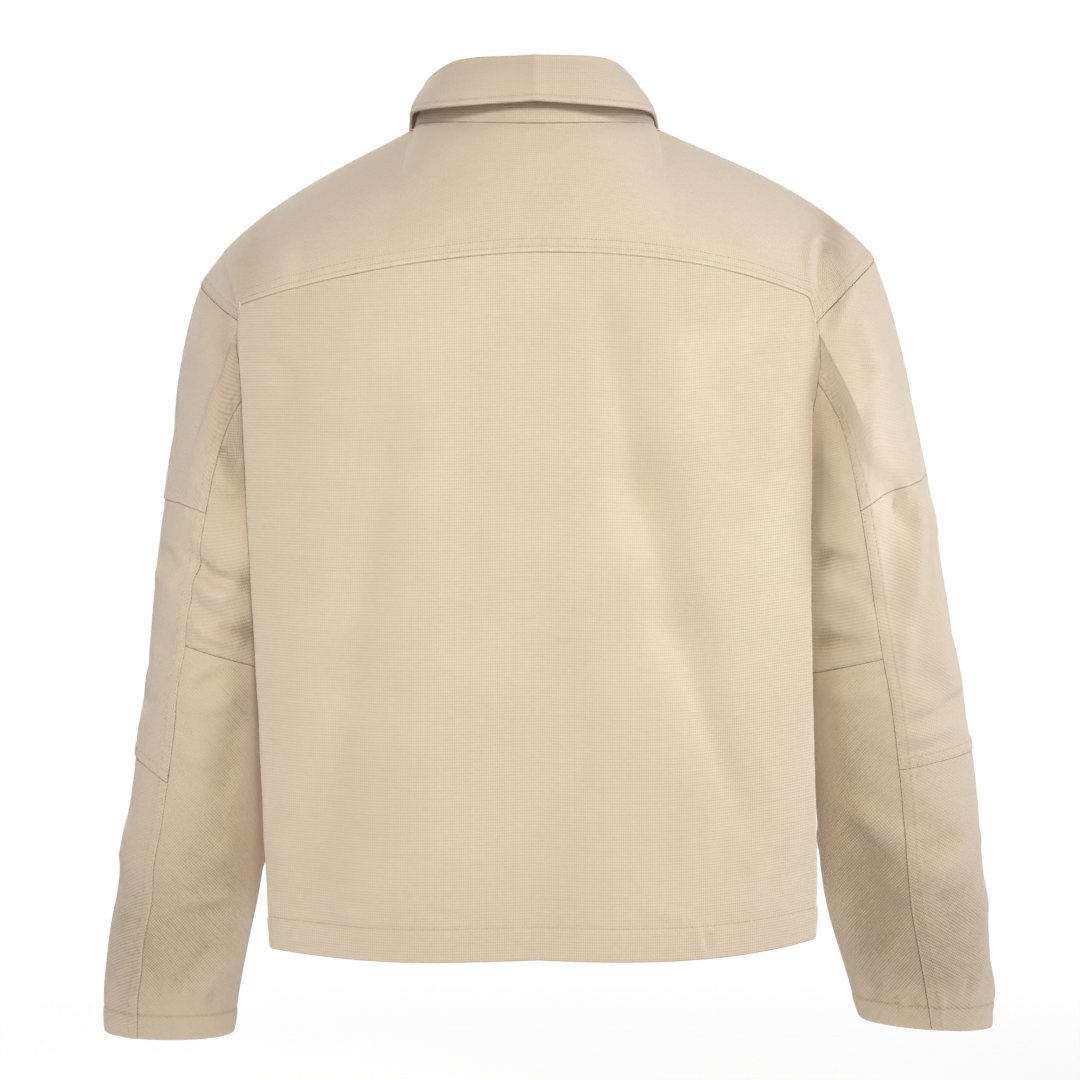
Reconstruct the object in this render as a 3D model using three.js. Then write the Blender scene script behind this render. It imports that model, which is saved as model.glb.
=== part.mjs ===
// A chore jacket of cotton canvas, in the hollow form it has when worn, arms hanging.
// Millimetres. +Z is up, the back faces +Y, the wearer's left is +X.
// The origin is at the middle of the neck opening, level with the neck seam at the back.
import * as THREE from "three";

// Cloth and seams
const CLOTH = 1.6;
const TURNED_CLOTH = 2.6;
const SEAM_GAP = 0.3;
const SEAM_BEVEL = 0.6;
const HEM_DEPTH = 25;
const CUFF_DEPTH = 20;

// Heights of the body
const UNDERARM_Z = -320;
const HEM_BACK_Z = -637;
const HEM_FRONT_Z = -645;
const HEM_DIP = 2.4;

// Body sections from the yoke seam down to below the hem. The back is nearly flat as far as a folded
// edge on each side and turns forward there to the side seam; the front is rounder.
const BODY_COLUMNS = [
  "z", "backY", "edgeLeft", "edgeRight", "edgeY",
  "sideLeft", "sideRight", "frontEdge", "frontEdgeY", "frontY",
];
const BODY_ROWS = [
  [-90, 105, 235, 207, 58, 190, 196, 186, -78, -132],
  [-140, 112, 234, 208, 60, 188, 194, 188, -80, -140],
  [-220, 117, 232, 211, 62, 180, 190, 190, -82, -150],
  [-320, 115, 229, 212, 62, 177, 189, 190, -80, -152],
  [-400, 111, 224, 212, 62, 186, 194, 192, -78, -146],
  [-500, 108, 218, 214, 62, 196, 200, 195, -76, -138],
  [-600, 106, 212, 216, 60, 204, 204, 198, -76, -132],
  [-660, 105, 207, 212, 58, 202, 200, 198, -74, -130],
];
const SIDE_SEAM_Y = -6;
const BACK_FLATNESS = 3.4;
const FRONT_FLATNESS = 2.6;
const SIDE_HOLLOW = 0.2;

// Where the folded edge, the neck and the front edge fold lie, as shares of a panel's width
const BACK_EDGE_SHARE = 0.8;
const NECK_SHARE = 0.4;
const FRONT_NECK_SHARE = 0.66;
const FRONT_EDGE_SHARE = FRONT_NECK_SHARE / 3;
const BACK_EDGE_ROUNDING = 0.03;
const FRONT_EDGE_ROUNDING = 0.1;

// Each half of the jacket: yoke seam, armhole and sleeve angles. Tangents are in millimetres.
const LEFT = {
  sign: 1,
  name: "left",
  edge: "edgeLeft",
  side: "sideLeft",
  hemRise: 2,
  yokeDrop: 36,
  yokeBend: 1.6,
  underarm: [177, SIDE_SEAM_Y, UNDERARM_Z],
  yokeEnd: [232, 57, -151],
  shoulderEnd: [270, -28, -120],
  yokeTangent: [82, -75, 48],
  shoulderTangent: [-30, -75, -40],
  neckSide: [101, -24, 12],
  neckEnd: 2.146,
  seamAngle: 67,
  seamSwing: 19,
  armholeYokeAngle: 40,
  armholeShoulderAngle: -35,
};
const RIGHT = {
  sign: -1,
  name: "right",
  edge: "edgeRight",
  side: "sideRight",
  hemRise: 17,
  yokeDrop: 29,
  yokeBend: 2.2,
  underarm: [-189, SIDE_SEAM_Y, UNDERARM_Z],
  yokeEnd: [-212, 56, -153],
  shoulderEnd: [-267, -28, -100],
  yokeTangent: [-120, -40, 115],
  shoulderTangent: [30, -75, -45],
  neckSide: [-93, -24, 12],
  neckEnd: 2.092,
  seamAngle: 92,
  seamSwing: 8,
  armholeYokeAngle: 68,
  armholeShoulderAngle: -20,
};
const YOKE_SEAM_Z = -103;
const YOKE_START_LENGTH = 105;
const ARMHOLE_BACK_DROP = [0.45, 0.15, -1];
const ARMHOLE_UNDER_BACK = [0, 130, 80];
const ARMHOLE_UNDER_FRONT = [0, -190, 105];
const ARMHOLE_BACK_LENGTH = 130;
const ARMHOLE_FRONT_SCALE = 2.2;
const SHOULDER_ARCH = { left: 21, right: 18 };
const SHOULDER_ARCH_BEND = 1.7;
const SHOULDER_ARCH_FULLNESS = 0.6;
const SHOULDER_FOLD_SHARE = 0.88;
const SLEEVE_LEAVE = 0.44;

// Neck opening
const NECK_CENTRE_X = 4;
const NECK_BACK_Y = 62;
const NECK_BACK_Z = 2;
const NECK_FRONT = [NECK_CENTRE_X, -98, -70];
const NECK_BACK_TANGENT = [0, -50, 75];
const NECK_SIDE_TANGENT = [0, -72, -19];
const FRONT_START = [0, 0, 175];
const FRONT_NECK_TANGENT = [0, 60, 110];
const FRONT_SIDE_TANGENT = [0, 110, 24];
const FRONT_OVERLAP = 18;
const FRONT_STEP = 3;

// Soft folds of the back: the ends of each in X and Z, its half width and its depth (a trough is negative)
const BACK_FOLD_COLUMNS = ["fromX", "fromZ", "toX", "toZ", "halfWidth", "depth"];
const BACK_FOLDS = [
  [118, -255, 147, -425, 24, -4.5],
  [147, -425, 171, -600, 22, -4],
  [-50, -150, -78, -285, 18, -3.5],
  [-78, -285, -106, -385, 20, -5.5],
  [-106, -385, -148, -520, 20, -5.5],
  [92, -290, 96, -600, 34, 3],
  [-36, -330, -40, -600, 34, 2.5],
];

// Sleeve rings from below the armhole to the cuff: centre and half sizes
const RING_COLUMNS = ["z", "centreX", "centreY", "halfWidth", "halfDepth"];
const RINGS = {
  left: [
    [-345, 246, -3, 60, 64],
    [-400, 254.5, -5, 57, 62],
    [-450, 260.5, -8, 57, 60],
    [-528, 272.5, -18, 57, 56],
    [-608, 286.5, -30, 57.5, 51],
    [-680, 299.5, -41, 55.5, 44],
    [-722, 303, -45, 52, 39],
  ],
  right: [
    [-345, 257.5, 0, 63, 68],
    [-400, 266, -4, 64.5, 61],
    [-450, 276, -8, 65, 57],
    [-528, 287, -18, 65, 51],
    [-608, 296, -30, 64.5, 46],
    [-680, 310, -41, 58, 43],
    [-717, 316.5, -45, 53, 38],
  ],
};
const HEAD_RING_Z = -345;
const CUFF_Z = { left: -721, right: -713 };
const CUFF_TILT = { left: 1, right: -3.5 };
const UNDER_SLEEVE_TURN = 163;

// Cross seams of the sleeves. The elbow panel's top seam lies on the sleeve head, as a share of it;
// the others are heights, each at the outer side, with the fall towards the inner side.
const ELBOW_TOP_SHARE = { left: 0.735, right: 0.685 };
const ELBOW_TOP_FALL = { left: 0.025, right: -0.02 };
const ELBOW_BOTTOM_Z = { left: -492, right: -486 };
const ELBOW_BOTTOM_FALL = { left: 30, right: 14 };
const UNDER_SEAM_Z = { left: -393, right: -396 };
const UNDER_SEAM_FALL = 16;

// The back seam of a sleeve lies this much nearer the body at the armhole: how far round the sleeve
// that reaches, where it ends down the sleeve and its curve
const SWING_REACH = 110;
const SWING_END = 1.15;
const SWING_BEND = 1.2;

// Folds of the sleeves: the ends of each as angle round the sleeve and height, half width, depth
const SLEEVE_FOLD_COLUMNS = ["fromAngle", "fromZ", "toAngle", "toZ", "halfWidth", "depth"];
const SLEEVE_FOLDS = {
  left: [
    [60, -335, 115, -362, 12, -4],
    [50, -398, 110, -418, 12, -3],
    [26, -470, 80, -430, 16, 2.5],
    [30, -604, 110, -612, 16, -3],
    [10, -560, 70, -575, 18, 2.5],
    [100, -640, 40, -690, 12, -2.5],
  ],
  right: [
    [75, -205, 35, -300, 18, 4],
    [95, -215, 60, -300, 14, -4],
    [40, -300, 45, -400, 16, 4],
    [64, -430, 22, -455, 14, -3.5],
    [120, -345, 85, -372, 12, -4],
    [120, -520, 80, -545, 14, -3],
    [70, -590, 20, -610, 16, 3],
    [30, -660, 5, -690, 10, 3],
  ],
};

// Collar. The stand follows the neck; the fall rises from it, turns over and hangs outside.
const COLLAR_END_TURN = 1.965;
const STAND_BACK_HEIGHT = 34;
const STAND_FRONT_HEIGHT = 20;
const STAND_LEAN = 8;
const LEAF_ROLL = 3.6;
const COLLAR_COLUMNS = ["turn", "foldX", "foldY", "foldZ", "edgeX", "edgeY", "edgeZ"];
const COLLAR_ROWS = {
  left: [
    [0, 4, 50, 57.5, 4, 74, 18],
    [0.5, 61, 35, 57, 68, 60, 16],
    [0.8, 84, 10, 50, 99, 26, 18],
    [1, 93, -20, 42, 105, -22, 18],
    [1.3, 87, -54, 31, 107, -62, 1],
    [1.65, 54.5, -85.5, 1, 100, -102, -52],
    [2, 12, -95, -35, 84, -128, -106],
  ],
  right: [
    [0, 4, 50, 57.5, 4, 74, 18],
    [0.5, -50, 35, 58, -60, 60, 16],
    [0.8, -69, 10, 51, -87, 26, 18],
    [1, -79, -20, 43, -95, -22, 18],
    [1.3, -75, -54, 32, -98, -62, 1],
    [1.65, -46.5, -85.5, 1, -92, -102, -52],
    [2, -4, -95, -35, -76, -128, -106],
  ],
};

// Buttons
const BUTTON_RADIUS = 9;
const BUTTON_THICKNESS = 3.2;
const BUTTON_RIM = 1.6;
const BUTTON_CLEARANCE = 0.6;
const BUTTON_PLACES = [
  { height: -110, share: 0.965 },
  { height: -225, share: 0.945 },
  { height: -340, share: 0.9325 },
  { height: -455, share: 0.9325 },
  { height: -570, share: 0.9325 },
];

// Colours of the cloth and of the horn-like buttons
const CANVAS = 0xdccbb2;
const BUTTON_COLOUR = 0xc9b596;

// Small helpers for numbers and points
const clamp = (value, low, high) => Math.min(high, Math.max(low, value));
const mix = (from, to, share) => from + (to - from) * share;
const mixPoint = (from, to, share) => from.map((value, i) => mix(value, to[i], share));
const moved = (point, direction, distance) => point.map((value, i) => value + direction[i] * distance);
const minus = (a, b) => a.map((value, i) => value - b[i]);
const scaled = (point, factor) => point.map((value) => value * factor);
const lengthOf = (vector) => Math.hypot(...vector);
const unit = (vector) => scaled(vector, 1 / (lengthOf(vector) || 1));
const cross = (a, b) => [
  a[1] * b[2] - a[2] * b[1],
  a[2] * b[0] - a[0] * b[2],
  a[0] * b[1] - a[1] * b[0],
];
const eased = (share) => {
  const t = clamp(share, 0, 1);
  return t * t * (3 - 2 * t);
};
const radians = (degrees) => (degrees * Math.PI) / 180;

function hermite(start, startTangent, end, endTangent, t) {
  const a = 2 * t ** 3 - 3 * t ** 2 + 1;
  const b = t ** 3 - 2 * t ** 2 + t;
  const c = -2 * t ** 3 + 3 * t ** 2;
  const d = t ** 3 - t ** 2;
  return start.map((value, i) => a * value + b * startTangent[i] + c * end[i] + d * endTangent[i]);
}

// The row of a table at a given value of its first column, smoothly between the rows
function tableAt(columns, rows, at) {
  const falling = rows[0][0] > rows[rows.length - 1][0];
  let i = 0;
  while (i < rows.length - 2 && (falling ? at < rows[i + 1][0] : at > rows[i + 1][0])) i += 1;
  const from = rows[i];
  const to = rows[i + 1];
  const before = rows[Math.max(i - 1, 0)];
  const after = rows[Math.min(i + 2, rows.length - 1)];
  const step = to[0] - from[0];
  const t = clamp((at - from[0]) / step, 0, 1);
  const result = {};
  columns.forEach((name, k) => {
    const startSlope = ((to[k] - before[k]) / (to[0] - before[0])) * step;
    const endSlope = ((after[k] - from[k]) / (after[0] - from[0])) * step;
    result[name] = hermite([from[k]], [startSlope], [to[k]], [endSlope], t)[0];
  });
  return result;
}

// Height of a bank of folds at a place: each is a bell across its line and fades at both ends
function foldHeight(columns, folds, across, down, acrossScale) {
  let height = 0;
  for (const values of folds) {
    const fold = Object.fromEntries(columns.map((name, i) => [name, values[i]]));
    const [fromAcross, fromDown, toAcross, toDown] = values;
    const lineX = (toAcross - fromAcross) * acrossScale;
    const lineY = toDown - fromDown;
    const offX = (across - fromAcross) * acrossScale;
    const offY = down - fromDown;
    const length = Math.hypot(lineX, lineY);
    const alongLine = (offX * lineX + offY * lineY) / length;
    const aside = (offX * lineY - offY * lineX) / length;
    const beyond = Math.max(0, -alongLine, alongLine - length);
    const spread = Math.hypot(aside, beyond * 0.7) / fold.halfWidth;
    height += fold.depth * Math.exp(-spread * spread);
  }
  return height;
}

// Armhole of one half: three arcs, from the underarm up the back, over the shoulder, down the front
const outwards = (half, vector) => [vector[0] * half.sign, vector[1], vector[2]];

function armholeBack(half, t) {
  const drop = scaled(unit(ARMHOLE_BACK_DROP), -ARMHOLE_BACK_LENGTH);
  const leave = ARMHOLE_UNDER_BACK;
  return hermite(half.underarm, leave, half.yokeEnd, outwards(half, drop), t);
}

function armholeTop(half, t) {
  return hermite(half.yokeEnd, half.yokeTangent, half.shoulderEnd, half.shoulderTangent, t);
}

function armholeFront(half, t) {
  const rise = scaled(half.shoulderTangent, -ARMHOLE_FRONT_SCALE);
  return hermite(half.underarm, ARMHOLE_UNDER_FRONT, half.shoulderEnd, rise, t);
}

// Height of the yoke seam at a share of the back's width
function yokeSeamZ(half, reach) {
  const share = Math.min(reach / BACK_EDGE_SHARE, 1);
  const onBack = YOKE_SEAM_Z - half.yokeDrop * share ** half.yokeBend;
  const beyond = clamp((reach - BACK_EDGE_SHARE) / (1 - BACK_EDGE_SHARE), 0, 1);
  return mix(onBack, half.yokeEnd[2], beyond);
}

function hemZ(half, reach) {
  const dip = HEM_DIP * Math.sin(Math.PI * Math.min(reach / BACK_EDGE_SHARE, 1));
  return HEM_BACK_Z + half.hemRise * reach ** 3 - dip;
}

const sideHemZ = (half) => hemZ(half, 1);

function sideSeam(half, v) {
  const z = mix(sideHemZ(half), UNDERARM_Z, v);
  const section = tableAt(BODY_COLUMNS, BODY_ROWS, z);
  return [half.sign * section[half.side], SIDE_SEAM_Y, z];
}

// One level of a panel: flat part, rounded fold at the edge, return to the side
function panelLevel(reach, edgeShare, rounding, flatPart, corner, side) {
  const inside = [side[0], mix(corner[1], side[1], SIDE_HOLLOW)];
  const returnPart = (share) => {
    const t = (share - edgeShare) / (1 - edgeShare);
    return inside.map((value, i) => (1 - t) ** 2 * corner[i] + 2 * t * (1 - t) * value + t ** 2 * side[i]);
  };
  if (reach <= edgeShare - rounding) return flatPart(reach);
  if (reach >= edgeShare + rounding) return returnPart(reach);
  const t = (reach - edgeShare + rounding) / (2 * rounding);
  const start = flatPart(edgeShare - rounding);
  const end = returnPart(edgeShare + rounding);
  const middle = corner;
  return start.map((value, i) => (1 - t) ** 2 * value + 2 * t * (1 - t) * middle[i] + t ** 2 * end[i]);
}

// The back: u from -1 (right) to 1 (left), v from 0 (hem) through 1 (underarm) to 2 (yoke seam)
function backPoint(u, v) {
  const half = u < 0 ? RIGHT : LEFT;
  const reach = Math.abs(u);
  const sidePoint = v <= 1 ? sideSeam(half, v) : armholeBack(half, v - 1);
  const rise = (sidePoint[2] - UNDERARM_Z) / (half.yokeEnd[2] - UNDERARM_Z);
  const z = v <= 1 ? mix(hemZ(half, reach), UNDERARM_Z, v) : mix(UNDERARM_Z, yokeSeamZ(half, reach), rise);
  const section = tableAt(BODY_COLUMNS, BODY_ROWS, z);
  const edgeX = half.sign * section[half.edge];
  const flatPart = (share) => {
    const t = share / BACK_EDGE_SHARE;
    return [edgeX * t, mix(section.backY, section.edgeY, t ** BACK_FLATNESS)];
  };
  const corner = [edgeX, section.edgeY];
  const [x, y] = panelLevel(reach, BACK_EDGE_SHARE, BACK_EDGE_ROUNDING, flatPart, corner, sidePoint);
  const quiet = eased((2 - v) / 0.3) * eased((0.9 - reach) / 0.2);
  return [x, y + quiet * foldHeight(BACK_FOLD_COLUMNS, BACK_FOLDS, x, z, 1), z];
}

// Neck seam: turn 0 at the back, 1 at the end of the shoulder seam, 2 at the front
function neckPoint(half, turn) {
  const side = half.neckSide;
  if (turn <= 1) {
    const angle = radians(90 * turn);
    return [
      mix(NECK_CENTRE_X, side[0], Math.sin(angle)),
      mix(side[1], NECK_BACK_Y, Math.cos(angle)),
      mix(NECK_BACK_Z, side[2], Math.sin(angle) ** 2),
    ];
  }
  const angle = radians(90 * (turn - 1));
  return [
    mix(NECK_FRONT[0], side[0], Math.cos(angle)),
    mix(side[1], NECK_FRONT[1], Math.sin(angle)),
    mix(side[2], NECK_FRONT[2], 1 - Math.abs(Math.cos(angle)) ** 1.3),
  ];
}

// Shoulder seam in front of the ridge, from the neck out to the armhole
function shoulderShare(reach) {
  const past = (reach - BACK_EDGE_SHARE) / (1 - BACK_EDGE_SHARE);
  const before = (reach - NECK_SHARE) / (BACK_EDGE_SHARE - NECK_SHARE);
  return past > 0 ? mix(SHOULDER_FOLD_SHARE, 1, past) : before * SHOULDER_FOLD_SHARE;
}

function shoulderSeam(half, share) {
  const point = mixPoint(half.neckSide, half.shoulderEnd, share);
  const bow = Math.max(0, Math.sin(Math.PI * share ** SHOULDER_ARCH_BEND));
  point[2] += SHOULDER_ARCH[half.name] * bow ** SHOULDER_ARCH_FULLNESS;
  return point;
}

// The yoke: u as on the back, v from 0 (yoke seam) to 1 (neck seam and shoulder seam)
function yokePoint(u, v) {
  const half = u < 0 ? RIGHT : LEFT;
  const reach = Math.abs(u);
  const start = backPoint(u, 2);
  const slope = minus(start, backPoint(u, 1.97));
  const follow = scaled(slope, YOKE_START_LENGTH / slope[2]);
  const startTangent = mixPoint(follow, half.yokeTangent, eased((reach - 0.7) / 0.3));
  const onNeck = reach <= NECK_SHARE;
  const share = onNeck ? reach / NECK_SHARE : shoulderShare(reach);
  const end = onNeck ? neckPoint(half, share) : shoulderSeam(half, share);
  const endTangent = onNeck
    ? mixPoint(NECK_BACK_TANGENT, NECK_SIDE_TANGENT, eased(share))
    : mixPoint(NECK_SIDE_TANGENT, half.shoulderTangent, share);
  return hermite(start, startTangent, end, endTangent, v);
}

// A front: g from 0 (side) to 1 (its own front edge), v from 0 (hem) through 1 (underarm) to 2 (top)
function frontPoint(half, g, v) {
  const reach = 1 - g;
  const edgeShare = 1 - FRONT_EDGE_SHARE;
  const sidePoint = sideSeam(half, Math.min(v, 1));
  const hem = mix(sideHemZ(half), HEM_FRONT_Z, eased(g));
  const z = mix(hem, UNDERARM_Z, Math.min(v, 1));
  const section = tableAt(BODY_COLUMNS, BODY_ROWS, z);
  const edgeX = half.sign * section.frontEdge;
  const frontEdgeX = -half.sign * FRONT_OVERLAP;
  const flatPart = (share) => {
    const x = mix(frontEdgeX, edgeX, share / edgeShare);
    const bend = Math.abs(x / edgeX) ** FRONT_FLATNESS;
    return [x, mix(section.frontY, section.frontEdgeY, bend)];
  };
  const corner = [edgeX, section.frontEdgeY];
  const level = panelLevel(reach, edgeShare, FRONT_EDGE_ROUNDING, flatPart, corner, sidePoint);
  const under = half === RIGHT ? FRONT_STEP * eased((level[0] + 40) / 20) : 0;
  const low = [level[0], level[1] + under, z];
  if (v <= 1) return low;
  const onShoulder = g <= FRONT_NECK_SHARE;
  const shoulder = shoulderShare(1 - (g / FRONT_NECK_SHARE) * (1 - NECK_SHARE));
  const neckTurn = (g - FRONT_NECK_SHARE) / (1 - FRONT_NECK_SHARE);
  let end = onShoulder ? shoulderSeam(half, shoulder) : neckPoint(half, mix(1, half.neckEnd, neckTurn));
  if (!onShoulder) end = [end[0], end[1] + under, end[2]];
  const sideRise = scaled(half.shoulderTangent, -ARMHOLE_FRONT_SCALE);
  const leave = mixPoint(ARMHOLE_UNDER_FRONT, FRONT_START, eased(g / 0.3));
  const arrive = onShoulder
    ? mixPoint(sideRise, FRONT_SIDE_TANGENT, eased(g / FRONT_NECK_SHARE))
    : mixPoint(FRONT_SIDE_TANGENT, FRONT_NECK_TANGENT, eased(neckTurn * 1.2));
  return hermite(low, leave, end, arrive, v - 1);
}

// A sleeve ring: angle 0 faces out, 90 back, 180 the body, 270 front
function ringPoint(half, angle, z) {
  const ring = tableAt(RING_COLUMNS, RINGS[half.name], z);
  const out = Math.cos(radians(angle));
  const back = Math.sin(radians(angle));
  return [half.sign * (ring.centreX + ring.halfWidth * out), ring.centreY + ring.halfDepth * back, z];
}

function armholePoint(half, angle) {
  const turn = angle > 180 ? angle - 360 : angle;
  const top = half.armholeYokeAngle;
  const front = half.armholeShoulderAngle;
  if (turn >= top) return armholeBack(half, (180 - turn) / (180 - top));
  if (turn >= front) return armholeTop(half, (top - turn) / (top - front));
  return armholeFront(half, (turn + 180) / (front + 180));
}

// A sleeve: s from 0 (armhole) through 1 (first ring) to 2 (cuff)
function sleevePoint(half, angle, s) {
  const out = Math.cos(radians(angle));
  const back = Math.sin(radians(angle));
  const tilt = CUFF_TILT[half.name] * out;
  let point;
  if (s <= 1) {
    const start = moved(armholePoint(half, angle), [half.sign, 0, 0], SEAM_GAP);
    const end = ringPoint(half, angle, HEAD_RING_Z);
    const chord = lengthOf(minus(end, start));
    const leave = unit([half.sign * (SLEEVE_LEAVE - 0.12 * out), 0.25 * back, -(0.76 + 0.11 * out)]);
    const slope = minus(ringPoint(half, angle, HEAD_RING_Z - 6), end);
    point = hermite(start, scaled(leave, chord), end, scaled(unit(slope), chord), s);
  } else {
    const cuff = CUFF_Z[half.name] + tilt;
    point = ringPoint(half, angle, mix(HEAD_RING_Z, cuff, s - 1));
  }
  const quiet = eased(s / 0.25) * eased((2 - s) / 0.08);
  const turn = angle > 180 ? angle - 360 : angle;
  const folds = SLEEVE_FOLDS[half.name];
  const lift = quiet * foldHeight(SLEEVE_FOLD_COLUMNS, folds, turn, point[2], 1.05);
  return [point[0] + half.sign * out * lift, point[1] + back * lift, point[2]];
}

// Rows of a sleeve: r is 0 at the armhole, 1 at the elbow panel's top seam, 2 at the under-sleeve seam,
// 3 at the elbow panel's lower seam, 3.8 at the cuff's stitch line and 4 at the cuff's edge
function sleeveRow(half, angle, r) {
  const inner = 1 - Math.cos(radians(angle));
  const cuff = CUFF_Z[half.name];
  const share = (z) => 1 + (z - HEAD_RING_Z) / (cuff - HEAD_RING_Z);
  const stops = [
    0,
    ELBOW_TOP_SHARE[half.name] - ELBOW_TOP_FALL[half.name] * inner,
    share(UNDER_SEAM_Z[half.name] - UNDER_SEAM_FALL * inner),
    share(ELBOW_BOTTOM_Z[half.name] - ELBOW_BOTTOM_FALL[half.name] * Math.min(inner, 1)),
    share(cuff + CUFF_DEPTH),
    2,
  ];
  const places = [0, 1, 2, 3, 3.8, 4];
  let i = 0;
  while (i < places.length - 2 && r > places[i + 1]) i += 1;
  return mix(stops[i], stops[i + 1], (r - places[i]) / (places[i + 1] - places[i]));
}

// Collar stand: turn from -2 (right front) through 0 (back) to 2 (left front), h from 0 to 1
function standPoint(turn, h) {
  const half = turn < 0 ? RIGHT : LEFT;
  const base = neckPoint(half, Math.abs(turn));
  const lift = mix(STAND_BACK_HEIGHT, STAND_FRONT_HEIGHT, eased(Math.abs(turn) / 1.2));
  const inwards = unit([NECK_CENTRE_X - base[0], -18 - base[1], 0]);
  const onTop = moved(base, [inwards[0], inwards[1], 0], STAND_LEAN * h ** 1.6);
  const clear = SEAM_GAP * (1 + 3 * eased(Math.abs(turn) - 1));
  return [onTop[0], onTop[1], base[2] + clear + lift * h];
}

// Collar fall: k from 0 (top of the stand) over the fold at 0.4 to 1 (outer edge)
function fallPoint(turn, k) {
  const half = turn < 0 ? RIGHT : LEFT;
  const row = tableAt(COLLAR_COLUMNS, COLLAR_ROWS[half.name], Math.abs(turn));
  const fold = [row.foldX, row.foldY, row.foldZ];
  const edge = [row.edgeX, row.edgeY, row.edgeZ];
  const base = standPoint(turn, 1);
  const inwards = unit([NECK_CENTRE_X - fold[0], -18 - fold[1], 0]);
  const clear = SEAM_GAP * (2 + 3 * eased(Math.abs(turn) - 1));
  const start = moved([base[0], base[1], base[2] + clear], inwards, CLOTH);
  const before = moved(fold, [inwards[0], inwards[1], -1], LEAF_ROLL);
  const after = moved(fold, [-inwards[0], -inwards[1], -1], LEAF_ROLL);
  if (k <= 0.25) return mixPoint(start, before, k / 0.25);
  if (k >= 0.55) {
    const t = (k - 0.55) / 0.45;
    const point = mixPoint(after, edge, t);
    return moved(point, [-inwards[0], -inwards[1], 0], 2.5 * Math.sin(Math.PI * t));
  }
  const turnAngle = Math.PI * ((k - 0.25) / 0.3);
  const aside = LEAF_ROLL * Math.cos(turnAngle);
  const lift = LEAF_ROLL * Math.sin(turnAngle);
  return moved([fold[0], fold[1], fold[2] - LEAF_ROLL + lift], inwards, aside);
}

// Grids and walls
function gridOf(rows, columns, pointAt) {
  return rows.map((row) => columns.map((column) => pointAt(column, row)));
}

// Draws the named edges of a grid back by a distance, within its own surface
function insetEdges(grid, edges, distance) {
  const last = grid.length - 1;
  const end = grid[0].length - 1;
  const pulled = grid.map((row) => row.map((point) => [...point]));
  const pull = (i, j, towards) => {
    const direction = unit(minus(towards, grid[i][j]));
    pulled[i][j] = moved(pulled[i][j], direction, distance);
  };
  grid[0].forEach((point, j) => {
    if (edges.includes("first")) pull(0, j, grid[1][j]);
    if (edges.includes("last")) pull(last, j, grid[last - 1][j]);
  });
  grid.forEach((row, i) => {
    if (edges.includes("start")) pull(i, 0, row[1]);
    if (edges.includes("end")) pull(i, end, row[end - 1]);
  });
  return pulled;
}

function gridNormals(grid, outSign) {
  const last = grid.length - 1;
  const end = grid[0].length - 1;
  return grid.map((row, i) =>
    row.map((point, j) => {
      const down = minus(grid[Math.min(i + 1, last)][j], grid[Math.max(i - 1, 0)][j]);
      const across = minus(row[Math.min(j + 1, end)], row[Math.max(j - 1, 0)]);
      return scaled(unit(cross(across, down)), outSign);
    }),
  );
}

// A wall of cloth: the grid is its outer face and the inner face lies the given thickness behind it,
// drawn back a little more at its seams so that bent seams stay clear inside
function wallGeometry(grid, outSign, edges, thicknessAt) {
  const normals = gridNormals(grid, outSign);
  const drawn = insetEdges(grid, edges, SEAM_BEVEL);
  const inner = drawn.map((row, i) =>
    row.map((point, j) => moved(point, normals[i][j], -thicknessAt(i, j))),
  );
  const rows = grid.length;
  const columns = grid[0].length;
  const positions = [...grid.flat(), ...inner.flat()].flat();
  const outerIndex = (i, j) => i * columns + j;
  const innerIndex = (i, j) => rows * columns + outerIndex(i, j);
  const triangles = [];
  const quad = (a, b, c, d) => {
    if (outSign > 0) triangles.push(a, b, c, a, c, d);
    else triangles.push(a, c, b, a, d, c);
  };
  for (let i = 0; i < rows - 1; i += 1) {
    for (let j = 0; j < columns - 1; j += 1) {
      quad(outerIndex(i, j), outerIndex(i, j + 1), outerIndex(i + 1, j + 1), outerIndex(i + 1, j));
      quad(innerIndex(i, j), innerIndex(i + 1, j), innerIndex(i + 1, j + 1), innerIndex(i, j + 1));
    }
    const end = columns - 1;
    quad(outerIndex(i, 0), outerIndex(i + 1, 0), innerIndex(i + 1, 0), innerIndex(i, 0));
    quad(outerIndex(i + 1, end), outerIndex(i, end), innerIndex(i, end), innerIndex(i + 1, end));
  }
  for (let j = 0; j < columns - 1; j += 1) {
    const last = rows - 1;
    quad(outerIndex(0, j + 1), outerIndex(0, j), innerIndex(0, j), innerIndex(0, j + 1));
    quad(outerIndex(last, j), outerIndex(last, j + 1), innerIndex(last, j + 1), innerIndex(last, j));
  }
  const geometry = new THREE.BufferGeometry();
  geometry.setAttribute("position", new THREE.Float32BufferAttribute(positions, 3));
  geometry.setIndex(triangles);
  return geometry;
}

const jacket = new THREE.Group();
jacket.name = "chore_jacket";

function addMesh(name, geometry, colour, roughness) {
  const material = new THREE.MeshStandardMaterial({ color: colour, roughness, metalness: 0 });
  const mesh = new THREE.Mesh(geometry, material);
  mesh.name = name;
  jacket.add(mesh);
}

function addCloth(name, grid, outSign, edges, thicknessAt = () => CLOTH) {
  const face = insetEdges(grid, edges, SEAM_GAP / 2);
  addMesh(name, wallGeometry(face, outSign, edges, thicknessAt), CANVAS, 0.9);
}

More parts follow.
